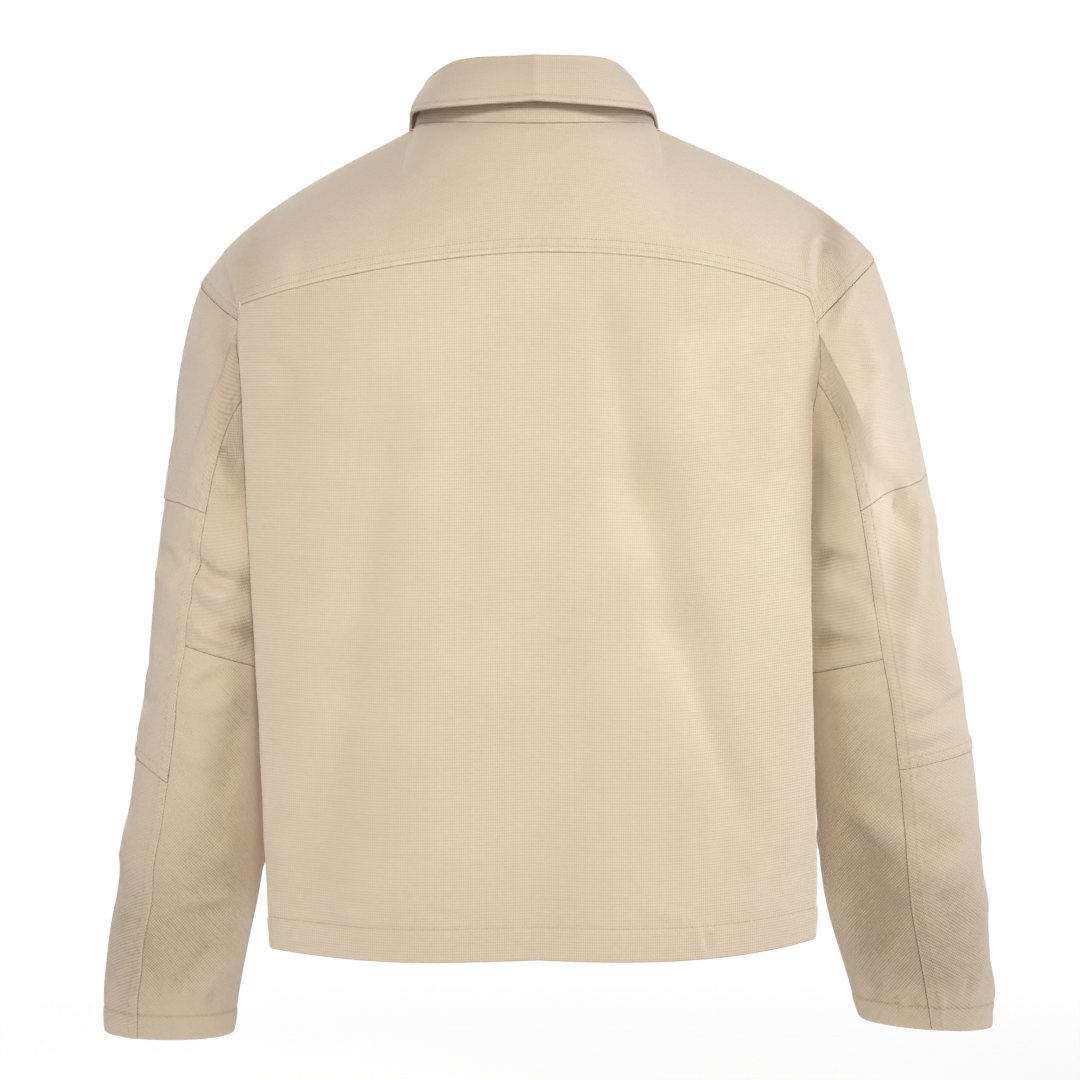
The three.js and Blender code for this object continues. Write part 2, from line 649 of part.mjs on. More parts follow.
// Shares of rows and columns. The columns close up at the folded edge, and the rows at hem and underarm.
const NECK_TURNS = [0, 1 / 6, 2 / 6, 3 / 6, 4 / 6, 5 / 6, 1];
const HALF_COLUMNS = [
  ...NECK_TURNS.map((turn) => turn * NECK_SHARE),
  0.5, 0.6, 0.69, 0.765, 0.785, BACK_EDGE_SHARE, 0.815, 0.835, 0.91, 1,
];
const BODY_COLUMNS_OF_GRID = [
  ...HALF_COLUMNS.slice(1).reverse().map((share) => -share),
  ...HALF_COLUMNS,
];
const hemShare = HEM_DEPTH / (UNDERARM_Z - HEM_BACK_Z);
const LOWER_ROWS = [0, hemShare, 0.18, 0.3, 0.42, 0.54, 0.66, 0.78, 0.9, 1];
const UPPER_ROWS = [1.1, 1.22, 1.36, 1.52, 1.68, 1.84, 2];
const BODY_ROWS_OF_GRID = [...LOWER_ROWS, ...UPPER_ROWS];
const turnedHem = (i) => (BODY_ROWS_OF_GRID[i] <= hemShare ? TURNED_CLOTH : CLOTH);

// Back and yoke
const backGrid = gridOf(BODY_ROWS_OF_GRID, BODY_COLUMNS_OF_GRID, backPoint);
addCloth("back", backGrid, -1, ["last", "start", "end"], turnedHem);
const YOKE_ROWS = [0, 0.14, 0.28, 0.42, 0.55, 0.67, 0.78, 0.89, 1];
const yokeGrid = gridOf(YOKE_ROWS, BODY_COLUMNS_OF_GRID, yokePoint);
addCloth("yoke", yokeGrid, -1, ["first", "last", "start", "end"]);

// Fronts, with their shoulder columns matched to the yoke's
const shoulderColumns = HALF_COLUMNS.filter((share) => share >= NECK_SHARE)
  .reverse()
  .map((share) => ((1 - share) / (1 - NECK_SHARE)) * FRONT_NECK_SHARE);
for (const half of [LEFT, RIGHT]) {
  const neckShare = (turn) => mix(FRONT_NECK_SHARE, 1, turn / (half.neckEnd - 1));
  const columns = [...shoulderColumns, ...NECK_TURNS.slice(1).map(neckShare), 1];
  const grid = gridOf(BODY_ROWS_OF_GRID, columns, (g, v) => frontPoint(half, g, v));
  addCloth("front_" + half.name, grid, -half.sign, ["last", "start"], turnedHem);
}

// Sleeves
const STAND_ROWS = [0, 0.5, 1];
const HEAD_ROWS = [0, 0.08, 0.2, 0.36, 0.52, 0.68, 0.84, 1];
const ELBOW_ROWS = [1, 1.2, 1.4, 1.6, 1.8, 2, 2.2, 2.4, 2.6, 2.8, 3];
const FOREARM_ROWS = [3, 3.13, 3.26, 3.39, 3.52, 3.65, 3.8, 4];
const ALL_ROWS = [...new Set([...HEAD_ROWS, ...ELBOW_ROWS, ...FOREARM_ROWS])];
const UNDER_UPPER_ROWS = ALL_ROWS.filter((r) => r <= 2);
const UNDER_LOWER_ROWS = ALL_ROWS.filter((r) => r >= 2);

function seamSwing(half, angle, s) {
  const turn = angle > 230 ? angle - 360 : angle;
  const near = eased(1 - Math.abs(turn - half.seamAngle) / SWING_REACH);
  return half.seamSwing * near * Math.max(0, 1 - s / SWING_END) ** SWING_BEND;
}

function sleevePiece(half, name, angles, rows, edges) {
  const grid = gridOf(rows, angles, (angle, r) => {
    const s = sleeveRow(half, angle, r);
    return sleevePoint(half, angle + seamSwing(half, angle, s), s);
  });
  const thickness = (i) => (rows[i] >= 3.8 ? TURNED_CLOTH : CLOTH);
  addCloth(name + "_" + half.name, grid, -half.sign, edges, thickness);
}

for (const half of [LEFT, RIGHT]) {
  const seam = half.seamAngle;
  const frontSeam = seam + UNDER_SLEEVE_TURN;
  const outerTurn = 360 - UNDER_SLEEVE_TURN;
  const topAngles = [];
  for (let i = 0; i <= 12; i += 1) topAngles.push(frontSeam + (outerTurn * i) / 12);
  const underAngles = [];
  for (let i = 0; i <= 10; i += 1) underAngles.push(seam + (UNDER_SLEEVE_TURN * i) / 10);
  const wrapped = (angles) => angles.map((angle) => (angle >= 360 ? angle - 360 : angle));
  const top = wrapped(topAngles);
  const both = ["start", "end"];
  sleevePiece(half, "sleeve", top, HEAD_ROWS, ["first", "last", ...both]);
  sleevePiece(half, "elbow", top, ELBOW_ROWS, ["first", "last", ...both]);
  sleevePiece(half, "forearm", top, FOREARM_ROWS, ["first", ...both]);
  sleevePiece(half, "under_upper", underAngles, UNDER_UPPER_ROWS, ["first", "last", ...both]);
  sleevePiece(half, "under_lower", underAngles, UNDER_LOWER_ROWS, ["first", ...both]);
}

// Collar
const HALF_TURNS = [...NECK_TURNS, ...NECK_TURNS.slice(1, -1).map((turn) => turn + 1), COLLAR_END_TURN];
const COLLAR_TURNS = [...HALF_TURNS.slice(1).reverse().map((turn) => -turn), ...HALF_TURNS];
addCloth("collar_stand", gridOf(STAND_ROWS, COLLAR_TURNS, standPoint), -1, []);
const FALL_ROWS = [0, 0.25, 0.325, 0.4, 0.475, 0.55, 0.7, 0.85, 1];
addCloth("collar", gridOf(FALL_ROWS, COLLAR_TURNS, fallPoint), 1, []);

// Buttons down the left front
BUTTON_PLACES.forEach(({ height, share }, i) => {
  const level = (height - HEM_FRONT_Z) / (UNDERARM_Z - HEM_FRONT_Z);
  const v = level <= 1 ? level : 1 + (height - UNDERARM_Z) / (NECK_FRONT[2] - UNDERARM_Z);
  const seat = frontPoint(LEFT, share, v);
  const above = frontPoint(LEFT, share, v + 0.02);
  const facing = unit(cross(minus(above, seat), [-1, 0, 0]));
  const profile = [
    [0, 0],
    [BUTTON_RADIUS - 1, 0],
    [BUTTON_RADIUS, 1],
    [BUTTON_RADIUS, BUTTON_THICKNESS - 0.8],
    [BUTTON_RADIUS - BUTTON_RIM / 2, BUTTON_THICKNESS],
    [BUTTON_RADIUS - BUTTON_RIM * 1.5, BUTTON_THICKNESS - 0.7],
    [0, BUTTON_THICKNESS - 1],
  ].map(([radius, along]) => new THREE.Vector2(radius, along));
  const geometry = new THREE.LatheGeometry(profile, 14);
  const turn = new THREE.Quaternion().setFromUnitVectors(
    new THREE.Vector3(0, 1, 0),
    new THREE.Vector3(...facing),
  );
  geometry.applyQuaternion(turn);
  geometry.translate(...moved(seat, facing, BUTTON_CLEARANCE));
  addMesh("button_" + (i + 1), geometry, BUTTON_COLOUR, 0.5);
});

export default jacket;
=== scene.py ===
"""Chore jacket of cotton canvas, seen from behind, hollow as when worn.

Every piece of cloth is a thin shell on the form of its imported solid, with creases, seams and stitching.
Sizes in the tables are millimetres; points become metres when a mesh is made.
"""

import math
from types import SimpleNamespace

import bpy
import numpy as np
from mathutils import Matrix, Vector


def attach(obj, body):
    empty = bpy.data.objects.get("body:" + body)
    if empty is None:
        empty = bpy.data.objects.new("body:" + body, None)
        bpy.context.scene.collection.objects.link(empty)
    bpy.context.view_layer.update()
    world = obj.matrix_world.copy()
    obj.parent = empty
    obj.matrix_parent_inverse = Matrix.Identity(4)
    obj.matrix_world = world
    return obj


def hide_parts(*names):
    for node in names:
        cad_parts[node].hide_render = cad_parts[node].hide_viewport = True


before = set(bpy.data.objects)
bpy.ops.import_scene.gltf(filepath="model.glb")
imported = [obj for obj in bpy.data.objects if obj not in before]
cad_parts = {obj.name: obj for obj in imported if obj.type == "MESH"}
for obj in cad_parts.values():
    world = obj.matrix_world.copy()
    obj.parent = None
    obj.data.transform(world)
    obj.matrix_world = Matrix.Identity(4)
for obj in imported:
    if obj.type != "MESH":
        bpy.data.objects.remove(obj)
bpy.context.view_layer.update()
MM = 0.001

# Cloth and seams
CLOTH = 1.6
TURNED_CLOTH = 2.6
SEAM_GAP = 0.3
HEM_DEPTH = 25.0
CUFF_DEPTH = 20.0
ALLOWANCE = 6.0

# Heights of the body
UNDERARM_Z = -320.0
HEM_BACK_Z = -637.0
HEM_FRONT_Z = -645.0
HEM_DIP = 2.4

# Body sections from the yoke seam down to below the hem
BODY_COLUMNS = (
    "z", "back_y", "edge_left", "edge_right", "edge_y",
    "side_left", "side_right", "front_edge", "front_edge_y", "front_y",
)
BODY_ROWS = (
    (-90, 105, 235, 207, 58, 190, 196, 186, -78, -132),
    (-140, 112, 234, 208, 60, 188, 194, 188, -80, -140),
    (-220, 117, 232, 211, 62, 180, 190, 190, -82, -150),
    (-320, 115, 229, 212, 62, 177, 189, 190, -80, -152),
    (-400, 111, 224, 212, 62, 186, 194, 192, -78, -146),
    (-500, 108, 218, 214, 62, 196, 200, 195, -76, -138),
    (-600, 106, 212, 216, 60, 204, 204, 198, -76, -132),
    (-660, 105, 207, 212, 58, 202, 200, 198, -74, -130),
)
SIDE_SEAM_Y = -6.0
BACK_FLATNESS = 3.4
FRONT_FLATNESS = 2.6
SIDE_HOLLOW = 0.2
BACK_EDGE_SHARE = 0.8
NECK_SHARE = 0.4
FRONT_NECK_SHARE = 0.66
FRONT_EDGE_SHARE = FRONT_NECK_SHARE / 3
BACK_EDGE_ROUNDING = 0.022
FRONT_EDGE_ROUNDING = 0.1

# Each half of the jacket: yoke seam, armhole, neck and sleeve angles
LEFT = SimpleNamespace(
    sign=1.0,
    name="left",
    edge="edge_left",
    side="side_left",
    hem_rise=2.0,
    yoke_drop=36.0,
    yoke_bend=1.6,
    underarm=(177, SIDE_SEAM_Y, UNDERARM_Z),
    yoke_end=(232, 57, -151),
    shoulder_end=(270, -28, -120),
    yoke_tangent=(82, -75, 48),
    shoulder_tangent=(-30, -75, -40),
    shoulder_arch=21.0,
    neck_side=(101, -24, 12),
    neck_end=2.146,
    seam_angle=67.0,
    seam_swing=19.0,
    armhole_yoke_angle=40.0,
    armhole_shoulder_angle=-35.0,
    cuff_z=-721.0,
    cuff_tilt=1.0,
    elbow_top_share=0.735,
    elbow_top_fall=0.025,
    elbow_bottom_z=-492.0,
    elbow_bottom_fall=30.0,
    under_seam_z=-393.0,
)
RIGHT = SimpleNamespace(
    sign=-1.0,
    name="right",
    edge="edge_right",
    side="side_right",
    hem_rise=17.0,
    yoke_drop=29.0,
    yoke_bend=2.2,
    underarm=(-189, SIDE_SEAM_Y, UNDERARM_Z),
    yoke_end=(-212, 56, -153),
    shoulder_end=(-267, -28, -100),
    yoke_tangent=(-120, -40, 115),
    shoulder_tangent=(30, -75, -45),
    shoulder_arch=18.0,
    neck_side=(-93, -24, 12),
    neck_end=2.092,
    seam_angle=92.0,
    seam_swing=8.0,
    armhole_yoke_angle=68.0,
    armhole_shoulder_angle=-20.0,
    cuff_z=-713.0,
    cuff_tilt=-3.5,
    elbow_top_share=0.685,
    elbow_top_fall=-0.02,
    elbow_bottom_z=-486.0,
    elbow_bottom_fall=14.0,
    under_seam_z=-396.0,
)
HALVES = (LEFT, RIGHT)
YOKE_SEAM_Z = -103.0
YOKE_START_LENGTH = 105.0
ARMHOLE_BACK_DROP = (0.45, 0.15, -1)
ARMHOLE_UNDER_BACK = (0, 130, 80)
ARMHOLE_UNDER_FRONT = (0, -190, 105)
ARMHOLE_BACK_LENGTH = 130.0
ARMHOLE_FRONT_SCALE = 2.2
SHOULDER_ARCH_BEND = 1.7
SHOULDER_ARCH_FULLNESS = 0.6
SHOULDER_FOLD_SHARE = 0.88
SLEEVE_LEAVE = 0.44

# Neck opening and front edge
NECK_CENTRE_X = 4.0
NECK_BACK_Y = 62.0
NECK_BACK_Z = 2.0
NECK_FRONT = (NECK_CENTRE_X, -98, -70)
NECK_BACK_TANGENT = (0, -50, 75)
NECK_SIDE_TANGENT = (0, -72, -19)
FRONT_START = (0, 0, 175)
FRONT_NECK_TANGENT = (0, 60, 110)
FRONT_SIDE_TANGENT = (0, 110, 24)
FRONT_OVERLAP = 18.0
FRONT_STEP = 3.0

# Main soft folds of the back: the ends of each in X and Z, its half width and its depth
BACK_FOLDS = (
    (118, -255, 147, -425, 24, -4.5),
    (147, -425, 171, -600, 22, -4),
    (-50, -150, -78, -285, 18, -3.5),
    (-78, -285, -106, -385, 20, -5.5),
    (-106, -385, -148, -520, 20, -5.5),
    (92, -290, 96, -600, 34, 3),
    (-36, -330, -40, -600, 34, 2.5),
)

# Sleeve rings from below the armhole to the cuff, and the sleeves' main folds round and down them
RING_COLUMNS = ("z", "centre_x", "centre_y", "half_width", "half_depth")
LEFT.rings = (
    (-345, 246, -3, 60, 64),
    (-400, 254.5, -5, 57, 62),
    (-450, 260.5, -8, 57, 60),
    (-528, 272.5, -18, 57, 56),
    (-608, 286.5, -30, 57.5, 51),
    (-680, 299.5, -41, 55.5, 44),
    (-722, 303, -45, 52, 39),
)
RIGHT.rings = (
    (-345, 257.5, 0, 63, 68),
    (-400, 266, -4, 64.5, 61),
    (-450, 276, -8, 65, 57),
    (-528, 287, -18, 65, 51),
    (-608, 296, -30, 64.5, 46),
    (-680, 310, -41, 58, 43),
    (-717, 316.5, -45, 53, 38),
)
LEFT.folds = (
    (60, -335, 115, -362, 12, -4),
    (50, -398, 110, -418, 12, -3),
    (26, -470, 80, -430, 16, 2.5),
    (30, -604, 110, -612, 16, -3),
    (10, -560, 70, -575, 18, 2.5),
    (100, -640, 40, -690, 12, -2.5),
)
RIGHT.folds = (
    (75, -205, 35, -300, 18, 4),
    (95, -215, 60, -300, 14, -4),
    (40, -300, 45, -400, 16, 4),
    (64, -430, 22, -455, 14, -3.5),
    (120, -345, 85, -372, 12, -4),
    (120, -520, 80, -545, 14, -3),
    (70, -590, 20, -610, 16, 3),
    (30, -660, 5, -690, 10, 3),
)
SLEEVE_FOLD_SCALE = 1.05
HEAD_RING_Z = -345.0
UNDER_SLEEVE_TURN = 163.0
UNDER_SEAM_FALL = 16.0
SWING_REACH = 110.0
SWING_END = 1.15
SWING_BEND = 1.2

# Collar: the fold line and the outer edge of the fall by turn round the neck
COLLAR_END_TURN = 1.965
STAND_BACK_HEIGHT = 34.0
STAND_FRONT_HEIGHT = 20.0
STAND_LEAN = 8.0
LEAF_ROLL = 3.6
NECK_MIDDLE = (NECK_CENTRE_X, -18.0)
COLLAR_COLUMNS = ("turn", "fold_x", "fold_y", "fold_z", "edge_x", "edge_y", "edge_z")
LEFT.collar = (
    (0, 4, 50, 57.5, 4, 74, 18),
    (0.5, 61, 35, 57, 68, 60, 16),
    (0.8, 84, 10, 50, 99, 26, 18),
    (1, 93, -20, 42, 105, -22, 18),
    (1.3, 87, -54, 31, 107, -62, 1),
    (1.65, 54.5, -85.5, 1, 100, -102, -52),
    (2, 12, -95, -35, 84, -128, -106),
)
RIGHT.collar = (
    (0, 4, 50, 57.5, 4, 74, 18),
    (0.5, -50, 35, 58, -60, 60, 16),
    (0.8, -69, 10, 51, -87, 26, 18),
    (1, -79, -20, 43, -95, -22, 18),
    (1.3, -75, -54, 32, -98, -62, 1),
    (1.65, -46.5, -85.5, 1, -92, -102, -52),
    (2, -4, -95, -35, -76, -128, -106),
)

# Buttons
BUTTON_CLEARANCE = 0.6
BUTTON_PLACES = ((-110, 0.965), (-225, 0.945), (-340, 0.9325), (-455, 0.9325), (-570, 0.9325))
BUTTON_SIDES = 72
BUTTON_BACK = ((0.03, 0.0), (8.0, 0.0), (8.7, 0.35), (9.0, 0.9))
BUTTON_RIM = (
    (9.0, 2.2),
    (8.85, 2.75),
    (8.45, 3.1),
    (7.9, 3.2),
    (7.3, 3.08),
    (6.7, 2.75),
    (6.1, 2.45),
    (5.5, 2.3),
)
HOLE_RADIUS = 1.05
HOLE_PLACE = 1.75
HOLE_DEPTH = 1.9
BUTTONHOLE = 22.0

# Creases. A line is given by three points as seen from one side: X and Z from the back or the
# front, Y and Z from the side. Then come its half width, its height (a trough is negative) and how much
# steeper its one flank is, from -1 to 1.
BACK_CREASES = (
    ("back", 113, -267, 142, -410, 167, -584, 10, -0.9, 0.2),
    ("back", -50, -154, -75, -275, -107, -384, 9, -0.9, -0.2),
    ("back", -107, -384, -130, -467, -149, -525, 9, -1.1, -0.2),
    ("back", -124, -169, -155, -237, -185, -305, 16, -0.8, 0),
    ("back", -90, -139, -113, -230, -136, -335, 18, 0.9, 0),
    ("back", -15, -395, -34, -471, -39, -561, 15, -0.8, 0),
    ("back", 83, -162, 94, -275, 106, -395, 18, 0.8, 0),
    ("back", 49, -162, 53, -305, 64, -456, 16, -0.6, 0),
    ("back", 181, -154, 192, -230, 187, -320, 16, -0.7, 0),
    ("back", -118, -608, -121, -622, -125, -638, 3, 1.5, 0.5),
    ("back", -124, -614, -127, -625, -130, -638, 3.5, -1, 0),
    ("back", -75, -595, -96, -602, -116, -605, 5, 0.7, 0),
    ("back", -147, -600, -170, -581, -192, -560, 8, 1.3, 0.3),
    ("back", -170, -603, -188, -590, -204, -576, 6, 1.1, 0.2),
    ("back", -185, -551, -180, -575, -170, -597, 6.5, -1.6, 0.3),
    ("back", -151, -563, -157, -580, -160, -600, 7, -1, 0),
    ("back", -136, -539, -143, -569, -152, -595, 10, -0.9, 0),
    ("back", -198, -531, -194, -554, -196, -576, 6, 0.9, 0),
    ("back", 158, -595, 142, -605, 121, -608, 6, 0.7, 0),
    ("back", 210, -539, 196, -569, 188, -595, 10, 0.9, 0),
    ("back", 90, -591, 75, -603, 53, -607, 5, -0.6, 0),
    ("back", 210, -169, 200, -188, 181, -199, 8, -0.6, 0),
    ("back", -188, -162, -173, -178, -155, -186, 8, -0.6, 0),
)
YOKE_CREASES = (
    ("back", -219, -78, -209, -98, -211, -134, 4.5, 3.2, -0.3),
    ("back", -225, -84, -219, -104, -218, -140, 4.5, -2.4, 0),
    ("back", -200, -87, -196, -105, -197, -125, 6, -0.8, 0),
    ("back", -179, -75, -167, -95, -158, -115, 14, 0.7, 0),
    ("back", 197, -87, 193, -110, 198, -131, 8, 1.2, 0.3),
    ("back", 187, -79, 181, -105, 185, -127, 7, -0.9, 0),
    ("back", 95, 5, 55, -7, 8, -10, 9, 0.6, 0),
    ("back", -16, -10, -55, -7, -91, 2, 8, 0.6, 0),
    ("back", 67, -13, 78, -46, 109, -71, 20, -0.6, 0),
    ("back", -79, -13, -102, -46, -132, -71, 20, -0.6, 0),
)
LEFT_SLEEVE_CREASES = (
    ("back", 258, -119, 252, -126, 246, -133, 3, -1.6, 0),
    ("back", 242, -140, 239, -154, 240, -175, 5, 1.2, 0),
    ("back", 248, -158, 249, -181, 246, -205, 6, -1.1, 0),
    ("back", 257, -135, 265, -158, 271, -190, 9, 0.9, 0),
    ("back", 247, -249, 241, -255, 231, -264, 5, -2.2, 0.3),
    ("back", 252, -266, 243, -278, 231, -284, 7, 1.6, 0),
    ("back", 266, -332, 255, -347, 232, -354, 5.5, -3, 0.4),
    ("back", 271, -345, 255, -361, 232, -367, 5.5, 2.4, -0.3),
    ("back", 274, -361, 257, -376, 238, -380, 5, -1.8, 0.3),
    ("back", 249, -384, 240, -391, 231, -394, 5, -2.6, 0.3),
    ("back", 274, -384, 259, -392, 235, -403, 5, 1.4, 0),
    ("back", 298, -324, 290, -334, 280, -343, 6, -1.4, 0.4),
    ("back", 304, -340, 295, -351, 281, -358, 7, 1.2, 0),
    ("back", 307, -383, 298, -398, 286, -408, 8, -0.9, 0),
    ("back", 245, -421, 258, -430, 276, -438, 6, -1.6, 0.3),
    ("back", 236, -438, 251, -448, 271, -451, 7, 1.2, 0),
    ("back", 234, -450, 244, -494, 252, -534, 10, -2, 0.3),
    ("back", 283, -478, 269, -488, 249, -486, 9, 0.9, 0),
    ("back", 321, -438, 310, -448, 298, -451, 7, -0.9, 0),
    ("back", 237, -599, 264, -603, 297, -607, 6, 1.5, 0.3),
    ("back", 240, -609, 264, -614, 294, -617, 6, -1.3, 0),
    ("back", 255, -636, 276, -659, 298, -688, 7, -1.7, 0.3),
    ("back", 244, -647, 260, -669, 274, -690, 6, 1.4, 0),
    ("back", 336, -612, 325, -622, 314, -626, 7, -0.9, 0),
    ("back", 343, -657, 332, -669, 321, -677, 7, 0.9, 0),
    ("back", 311, -657, 305, -673, 304, -692, 4.5, -1.1, 0),
    ("back", 333, -678, 328, -686, 328, -695, 3.5, 1, 0),
    ("back", 284, -673, 283, -685, 285, -695, 3.5, 1, 0),
    ("back", 264, -678, 262, -687, 265, -697, 3.5, -1.2, 0),
    ("back", 245, -551, 252, -567, 271, -577, 8, 1.2, 0),
    ("front", 262, -196, 254, -240, 240, -290, 9, -1.6, 0.3),
    ("front", 292, -290, 270, -318, 238, -330, 7, -2.2, 0.3),
    ("front", 296, -306, 272, -334, 240, -347, 7, 1.6, 0),
    ("front", 300, -390, 276, -402, 244, -398, 8, -1.8, 0.3),
    ("front", 310, -470, 284, -490, 252, -488, 8, 1.3, 0),
    ("front", 322, -560, 296, -584, 262, -590, 8, -1.5, 0.2),
    ("front", 330, -622, 304, -640, 276, -640, 7, 1.2, 0),
    ("front", 296, -668, 292, -682, 294, -698, 4, -1.1, 0),
    ("side", 10, -200, -4, -260, 4, -320, 12, -1.1, 0),
    ("side", -36, -395, -18, -412, 14, -418, 7, -1.4, 0.3),
    ("side", -58, -560, -40, -574, -8, -570, 7, 1.2, 0),
)
RIGHT_SLEEVE_CREASES = (
    ("back", -248, -117, -239, -138, -228, -163, 6, 1.8, 0.4),
    ("back", -235, -128, -228, -143, -221, -160, 4.5, -1.2, 0),
    ("back", -245, -135, -256, -169, -261, -209, 8, 1.6, -0.3),
    ("back", -261, -209, -255, -242, -254, -283, 8, 1.6, -0.3),
    ("back", -249, -173, -251, -204, -247, -242, 7, -1.4, 0),
    ("back", -276, -135, -281, -173, -285, -219, 12, -1, 0),
    ("back", -267, -227, -273, -246, -284, -266, 8, -1, 0),
    ("back", -223, -218, -233, -236, -238, -266, 6, -1.4, 0.3),
    ("back", -221, -242, -227, -266, -238, -289, 7, 1.2, 0),
    ("back", -284, -269, -289, -273, -292, -280, 2.5, -1.6, 0),
    ("back", -274, -275, -275, -289, -273, -304, 3, -1, 0),
    ("back", -281, -273, -283, -289, -282, -308, 3, 1, 0),
    ("back", -290, -278, -296, -324, -289, -379, 6.5, 2.4, 0.4),
    ("back", -300, -273, -307, -320, -305, -375, 8, -1.5, 0),
    ("back", -268, -289, -273, -336, -279, -375, 9, -1.5, 0),
    ("back", -288, -381, -284, -406, -288, -438, 7, 1.5, 0),
    ("back", -218, -326, -231, -336, -248, -334, 7, -2.2, 0.3),
    ("back", -220, -347, -235, -359, -255, -361, 8, 1.6, 0),
    ("back", -221, -391, -234, -401, -253, -398, 7, -2.4, 0.3),
    ("back", -221, -370, -237, -380, -257, -376, 8, -1, 0),
    ("back", -222, -437, -244, -441, -269, -433, 8, 1.2, 0),
    ("back", -276, -464, -308, -456, -340, -438, 6, -1.8, 0.4),
    ("back", -280, -476, -309, -470, -342, -456, 6, 1.6, 0),
    ("back", -314, -398, -322, -426, -332, -446, 9, 1, 0),
    ("back", -245, -474, -263, -488, -277, -504, 8, -1.2, 0),
    ("back", -237, -536, -259, -560, -289, -585, 9, -2.2, 0.3),
    ("back", -246, -526, -270, -547, -293, -567, 9, 1.6, 0),
    ("back", -257, -577, -278, -601, -298, -620, 8, -1.4, 0),
    ("back", -291, -567, -314, -560, -339, -549, 8, -1.5, 0.3),
    ("back", -297, -585, -323, -577, -346, -560, 8, 1.5, 0),
    ("back", -308, -612, -327, -601, -349, -591, 8, -1.2, 0),
    ("back", -357, -659, -355, -670, -351, -683, 3.5, 1.8, 0.3),
    ("back", -342, -664, -344, -678, -340, -692, 4, -1.2, 0),
    ("back", -284, -683, -286, -692, -288, -703, 2.2, -1.4, 0.3),
    ("back", -291, -682, -292, -693, -292, -703, 3, 1.1, 0),
    ("back", -257, -657, -267, -673, -272, -695, 6, -1.3, 0),
    ("back", -318, -678, -322, -690, -320, -702, 3, 0.9, 0),
    ("back", -304, -678, -302, -690, -306, -702, 3, -0.9, 0),
    ("back", -292, -628, -281, -649, -278, -678, 8, 1, 0),
    ("front", -266, -190, -258, -236, -244, -286, 9, -1.6, 0.3),
    ("front", -300, -284, -276, -312, -242, -326, 7, -2.2, 0.3),
    ("front", -306, -302, -280, -330, -246, -343, 7, 1.6, 0),
    ("front", -318, -384, -290, -398, -254, -392, 8, -1.8, 0.3),
    ("front", -330, -462, -298, -484, -262, -478, 8, 1.3, 0),
    ("front", -340, -556, -306, -578, -270, -582, 8, -1.5, 0.2),
    ("front", -346, -616, -312, -632, -284, -634, 7, 1.2, 0),
    ("front", -310, -662, -308, -676, -312, -692, 4, -1.1, 0),
    ("side", 6, -190, -8, -250, 2, -315, 12, -1.1, 0),
    ("side", -34, -372, -14, -388, 16, -392, 7, -1.4, 0.3),
    ("side", -60, -548, -42, -562, -10, -556, 7, 1.2, 0),
)
# Soft patches of painted shade, or painted light where the strength is positive, on the sleeves: seen from
# the back (1) or the front (-1), X and Z of the middle, reach across and up, and strength
SLEEVE_PAINTED_SHADING = {
    "left": (
        (1, 238, -262, 14, 44, -1.1),
        (1, 229, -352, 8, 13, -1.6),
        (1, 229, -391, 8, 12, -1.6),
        (1, 232, -440, 14, 70, -0.8),
        (1, 250, -580, 34, 140, -1.1),
        (1, 320, -640, 60, 90, -1.4),
        (1, 240, -180, 14, 70, -1.0),
        (-1, 240, -330, 16, 120, -0.8),
    ),
    "right": (
        (1, -226, -260, 12, 80, -1.0),
        (1, -219, -336, 7, 12, -1.6),
        (1, -221, -398, 7, 12, -1.6),
        (1, -236, -480, 24, 90, -0.9),
        (1, -262, -600, 36, 110, -1.5),
        (1, -325, -640, 60, 90, -1.4),
        (1, -262, -290, 18, 80, 1.4),
        (-1, -240, -330, 16, 120, -0.8),
    ),
}
LEFT_FRONT_CREASES = (
    ("front", 150, -110, 128, -190, 118, -300, 18, -1.6, 0.2),
    ("front", 186, -170, 160, -210, 120, -232, 9, -1.4, 0.3),
    ("front", 184, -190, 158, -228, 122, -252, 9, 1.2, 0),
    ("front", 176, -330, 150, -360, 108, -372, 11, -1.5, 0.3),
    ("front", 96, -330, 84, -450, 92, -590, 20, 1.2, 0),
    ("front", 140, -420, 134, -510, 142, -600, 16, -1.3, 0),
    ("front", 44, -240, 36, -330, 42, -420, 14, -0.9, 0),
    ("front", 14, -222, 26, -240, 44, -250, 6, -1.0, 0.3),
    ("front", 14, -452, 28, -466, 50, -470, 6, -0.9, 0.3),
    ("front", 70, -606, 66, -622, 68, -640, 4, -1.0, 0),
    ("front", 128, -604, 124, -620, 130, -638, 4, 1.0, 0),
)
RIGHT_FRONT_CREASES = (
    ("front", -146, -104, -126, -186, -114, -296, 18, -1.6, 0.2),
    ("front", -190, -166, -164, -204, -126, -230, 9, -1.4, 0.3),
    ("front", -188, -188, -162, -226, -126, -248, 9, 1.2, 0),
    ("front", -182, -322, -154, -352, -112, -368, 11, -1.5, 0.3),
    ("front", -92, -340, -80, -456, -88, -580, 20, 1.2, 0),
    ("front", -146, -410, -138, -500, -146, -598, 16, -1.3, 0),
    ("front", -50, -260, -40, -350, -46, -450, 14, -0.9, 0),
    ("front", -78, -606, -74, -622, -78, -638, 4, -1.0, 0),
    ("front", -140, -604, -136, -620, -140, -636, 4, 1.0, 0),
)


# Helpers for numbers and points; a point array has its three coordinates last
def mix(start, end, share):
    return start + (end - start) * share


def mix_points(start, end, share):
    start = np.asarray(start, float)
    end = np.asarray(end, float)
    return start + (end - start) * np.asarray(share)[..., None]


def eased(share):
    t = np.clip(share, 0, 1)
    return t * t * (3 - 2 * t)


def bell(distance, width):
    return np.exp(-((distance / width) ** 2))


def stack(*values):
    return np.stack(np.broadcast_arrays(*values), axis=-1).astype(float)


def lengths(vectors):
    return np.sqrt((vectors**2).sum(-1))


